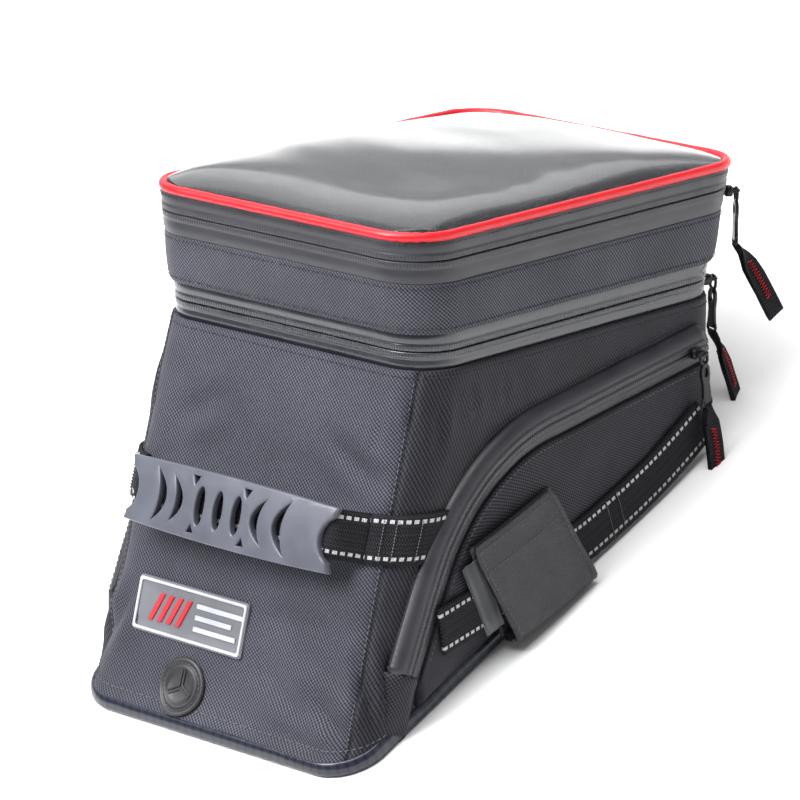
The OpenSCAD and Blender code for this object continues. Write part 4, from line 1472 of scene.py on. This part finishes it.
def slider(name, hanger, seat):
    loops = []
    rings = ((seat, 3.4, 2.6), (seat + 0.6, 4.3, 3.3), (4.4, 4.5, 3.4), (5.4, 4.0, 3.0), (5.8, 2.8, 2.0))
    for x, y, z in rings:
        loop = []
        for k in range(20):
            a = 2 * math.pi * k / 20
            cx, cz = math.cos(a), math.sin(a)
            squareness = 1 / max(abs(cx), abs(cz)) ** 0.55
            taper = 1 - 0.22 * (cx * 0.5 + 0.5)
            loop.append(hanger.at(x, y * cx * squareness, z * cz * squareness * taper))
        loops.append(loop)
    lofted(name + "_slider_body", loops, "black_metal", name + "_slider", "black_metal", solid=False,
           replaces=[name + "_slider"])
    route = [(5.6, -3.2, 0), (7.4, -3.3, 0), (8.6, -2.6, 0), (9.3, -1.3, 0), (9.3, 1.3, 0), (8.6, 2.6, 0),
             (7.4, 3.3, 0), (5.6, 3.2, 0)]
    bridge = [hanger.at(*p) for p in soft_curve(route)]
    swept(name + "_slider_bridge", bridge, 0.85, "black_metal", name + "_slider", "black_metal")


def soft_curve(points, steps=4):
    """A soft curve through the given points, in steps pieces between each two."""
    curve = []
    ends = [points[0]] + list(points) + [points[-1]]
    for k in range(len(points) - 1):
        p0, p1, p2, p3 = (Vector(q) for q in ends[k:k + 4])
        for s in range(steps):
            t = s / steps
            curve.append(0.5 * (2 * p1 + (p2 - p0) * t + (2 * p0 - 5 * p1 + 4 * p2 - p3) * t * t
                                + (3 * p1 - p0 - 3 * p2 + p3) * t ** 3))
    curve.append(Vector(points[-1]))
    return curve


PULLER_WIRE = 0.85


def ring_bar(name, hanger, height, half_y, half_z, body):
    """A closed wire loop in the plane of the zip, round a place on the line of the pins."""
    route = []
    for k in range(28):
        a = 2 * math.pi * k / 28
        y, z = half_y * math.cos(a), half_z * math.sin(a)
        stretch = 1 / max(abs(math.cos(a)), abs(math.sin(a))) ** 0.35
        route.append(hanger.at(PIN_OUT, y * stretch, height + z * stretch))
    swept(name, route, PULLER_WIRE, "black_metal", body, "black_metal", sides=8, closed=True)


def puller(name, hanger):
    """A black metal puller: a ring on the slider, a pierced shank and a lower loop for the tail."""
    body_name = name + "_puller"
    ring_bar(name + "_puller_ring", hanger, -2.2, 2.9, 3.6, body_name)
    edge = [(1.6, -5.2), (3.4, -8), (3.6, -12), (2.7, -17), (3.0, -22), (3.4, -25.5), (2.6, -27.6)]
    outer = edge + [(-y, z) for y, z in reversed(edge)]
    turns = [2 * math.pi * k / 16 for k in range(16)]
    hole = [(1.7 * math.cos(a), -10.4 - 2.6 * math.sin(a)) for a in turns]
    points, faces = extruded(name + "_puller_plate", [outer, hole], 2.0, 0.45)
    placed = [hanger.at(PIN_OUT + p.z, p.x, p.y) for p in points]
    finish_mesh(name + "_puller_plate", placed, faces, None, "black_metal", body_name, "black_metal",
                replaces=[name + "_puller"], smooth=False)
    ring_bar(name + "_puller_loop", hanger, -PULLER + 2.6, 3.8, 2.6, body_name)


def tail_axes(across_axis, face, turn):
    """The tail's flat and proud directions once it is twisted about its length."""
    c, s = math.cos(turn), math.sin(turn)
    return across_axis * c + face * s, face * c - across_axis * s


def tail_curl(d):
    """How far a tail bends out of its plane at the distance d from its top."""
    return 0.9 * math.sin(d / TAIL * math.pi * 1.3)


def tail(name, hanger, lean, twist):
    """A folded grosgrain tail through the puller's loop, with a red bar of stitching."""
    body_name = name + "_tail"
    a = math.radians(lean)
    down = (hanger.out * math.sin(a) - hanger.up * math.cos(a)).normalized()
    face = (hanger.out * math.cos(a) + hanger.up * math.sin(a)).normalized()
    across_axis = hanger.along
    origin = hanger.at(PIN_OUT, 0, -PULLER)
    rows = []
    path = [
        (-1.2, 0.0), (-0.6, 1.3), (1.5, 1.7), (5, 1.55), (9, 1.35), (14, 1.25), (22, 1.35), (30, 1.2),
        (38, 1.35), (44, 1.3), (46.6, 1.0), (TAIL, 0.0),
    ]
    loop_path = path + [(d, -n) for d, n in reversed(path[1:-1])]
    for d, n in loop_path:
        narrow = 0.42 if d < 3 else min(1.0, 0.42 + (d - 3) / 8)
        curl = tail_curl(d)
        row = []
        turn = math.radians(twist) * min(1, max(0, d / 16)) ** 1.3
        flat, proud = tail_axes(across_axis, face, turn)
        for k in range(9):
            f = k / 4 - 1
            across_tail = flat * f * TAIL_HALF * narrow
            row.append(origin + down * d + face * curl + proud * (n + 0.25 * f * f) + across_tail)
        rows.append(row)
    across = running_length([Vector((d, n, 0)) for d, n in loop_path])
    piece = lofted(name + "_tail_strap", rows, "grosgrain", body_name, "tail_webbing", round_=False,
                   along=[(k / 4 - 1) * TAIL_HALF for k in range(9)], across=across,
                   replaces=[name + "_tail"])
    for sign, end in ((1, "a"), (-1, "b")):
        path = []
        for k in range(27):
            d = 12 + k * 0.9
            y = 1.7 * (1 if k % 2 else -1)
            curl = tail_curl(d)
            flat, proud = tail_axes(across_axis, face, math.radians(twist) * min(1, d / 16) ** 1.3)
            path.append((origin + down * d + face * curl + proud * sign * 1.5 + flat * y, proud * sign))
        route = [p + normal * 0.25 for p, normal in path]
        swept(f"{name}_tail_thread_{end}", route, 0.42, "red_thread", body_name, "red_piping", sides=5)


def zip_pulls():
    main = corner_hanger(MAIN_SLIDER_LEVEL, 52)
    slider("main", main, 1.2)
    puller("main", main)
    tail("main", main, 32, MAIN_TWIST)
    expander = corner_hanger(EXPANDER_SLIDER_LEVEL, 70)
    slider("expander", expander, -0.6)
    puller("expander", expander)
    tail("expander", expander, 24, EXPANDER_TWIST)
    for name, side in (("right_pocket", 1), ("left_pocket", -1)):
        hanger = pocket_hanger(side)
        slider(name, hanger, 1.5)
        puller(name, hanger)
        tail(name, hanger, 6, POCKET_TWIST * side)


# ---- Camera, light and floor --------------------------------------------------------------------

CAMERA_AZIMUTH = math.radians(41.68)
CAMERA_HEIGHT = math.radians(15.32)
CAMERA_ROLL = math.radians(0.56)
CAMERA_TARGET = (0, 123.5, -114)
CAMERA_SHIFT = (17.53, 9.68)
CAMERA_DISTANCE = 2560
SENSOR_WIDTH = 36
LENS = 215.595
HORIZON_LIGHT = 0.5
SKY_LIGHT = 0.22
FLOOR_HALF = 8


def camera():
    a, e = CAMERA_AZIMUTH, CAMERA_HEIGHT
    right = Vector((math.cos(a), math.sin(a), 0))
    back = Vector((math.sin(a) * math.cos(e), -math.cos(a) * math.cos(e), math.sin(e)))
    up = back.cross(right)
    c, s = math.cos(CAMERA_ROLL), math.sin(CAMERA_ROLL)
    right, up = right * c + up * s, up * c - right * s
    right, up, back = (TILT @ axis for axis in (right, up, back))
    place = stand(*CAMERA_TARGET) - right * CAMERA_SHIFT[0] - up * CAMERA_SHIFT[1] + back * CAMERA_DISTANCE
    data = bpy.data.cameras.new("camera")
    data.lens = LENS
    data.sensor_width = SENSOR_WIDTH
    data.clip_start = 0.1
    data.clip_end = 60
    cam = bpy.data.objects.new("camera", data)
    cam.matrix_world = Matrix.Translation(place * MM) @ Matrix((right, up, back)).transposed().to_4x4()
    bpy.context.scene.collection.objects.link(cam)
    bpy.context.scene.camera = cam
    return right, up, back


def area_light(name, place, target, size, power):
    data = bpy.data.lights.new(name, "AREA")
    data.shape = "RECTANGLE"
    data.size, data.size_y = size
    data.energy = power
    light = bpy.data.objects.new(name, data)
    light.location = place
    light.rotation_mode = "QUATERNION"
    light.rotation_quaternion = (Vector(place) - Vector(target)).to_track_quat("Z", "Y")
    bpy.context.scene.collection.objects.link(light)


def studio(right, up, back):
    scene = bpy.context.scene
    scene.view_settings.view_transform = "Standard"
    world = bpy.data.worlds.new("studio")
    scene.world = world
    world.use_nodes = True
    tree = world.node_tree
    split = tree.nodes.new("ShaderNodeSeparateXYZ")
    tree.links.new(tree.nodes.new("ShaderNodeTexCoord").outputs["Generated"], split.inputs[0])
    fade = tree.nodes.new("ShaderNodeMapRange")
    fade.interpolation_type = "SMOOTHSTEP"
    for socket, number in zip(fade.inputs[1:5], (-0.12, 0.3, HORIZON_LIGHT, SKY_LIGHT)):
        socket.default_value = number
    tree.links.new(split.outputs[2], fade.inputs[0])
    tree.nodes["Background"].inputs[0].default_value = (0.97, 0.98, 1, 1)
    tree.links.new(fade.outputs[0], tree.nodes["Background"].inputs[1])
    mesh = bpy.data.meshes.new("floor")
    corners = [(x * FLOOR_HALF, y * FLOOR_HALF, 0) for x, y in ((-1, -1), (1, -1), (1, 1), (-1, 1))]
    mesh.from_pydata(corners, [], [(0, 1, 2, 3)])
    floor = bpy.data.objects.new("floor", mesh)
    scene.collection.objects.link(floor)
    look = Look("floor", (0.9, 0.9, 0.9), 0.9)
    look.colour(look.remap(look.noise(3, 2), 0, 1, 0.88, 0.92))
    mesh.materials.append(look.material)
    middle = Vector((0, 0.02, 0.12))
    area_light("key", middle + back * 1.1 - right * 1.5 + up * 0.9, middle, (1.2, 1.2), 70)
    area_light("fill", middle + back * 1.0 + right * 1.7 + up * 0.3, middle, (0.9, 1.6), 3)
    area_light("top", middle - back * 0.9 + up * 1.6 - right * 0.3, middle, (2.6, 1.4), 16)
    area_light("overhead", middle + Vector((0, 0, 2.4)), middle, (2.4, 2.4), 95)


# ---- Assembly -----------------------------------------------------------------------------------

axes = camera()
body()
base()
collar()
inside()
lid()
grip()
handle_strap()
badge()
port()
pocket("right", 1)
pocket("left", -1)
zip_pulls()
studio(*axes)
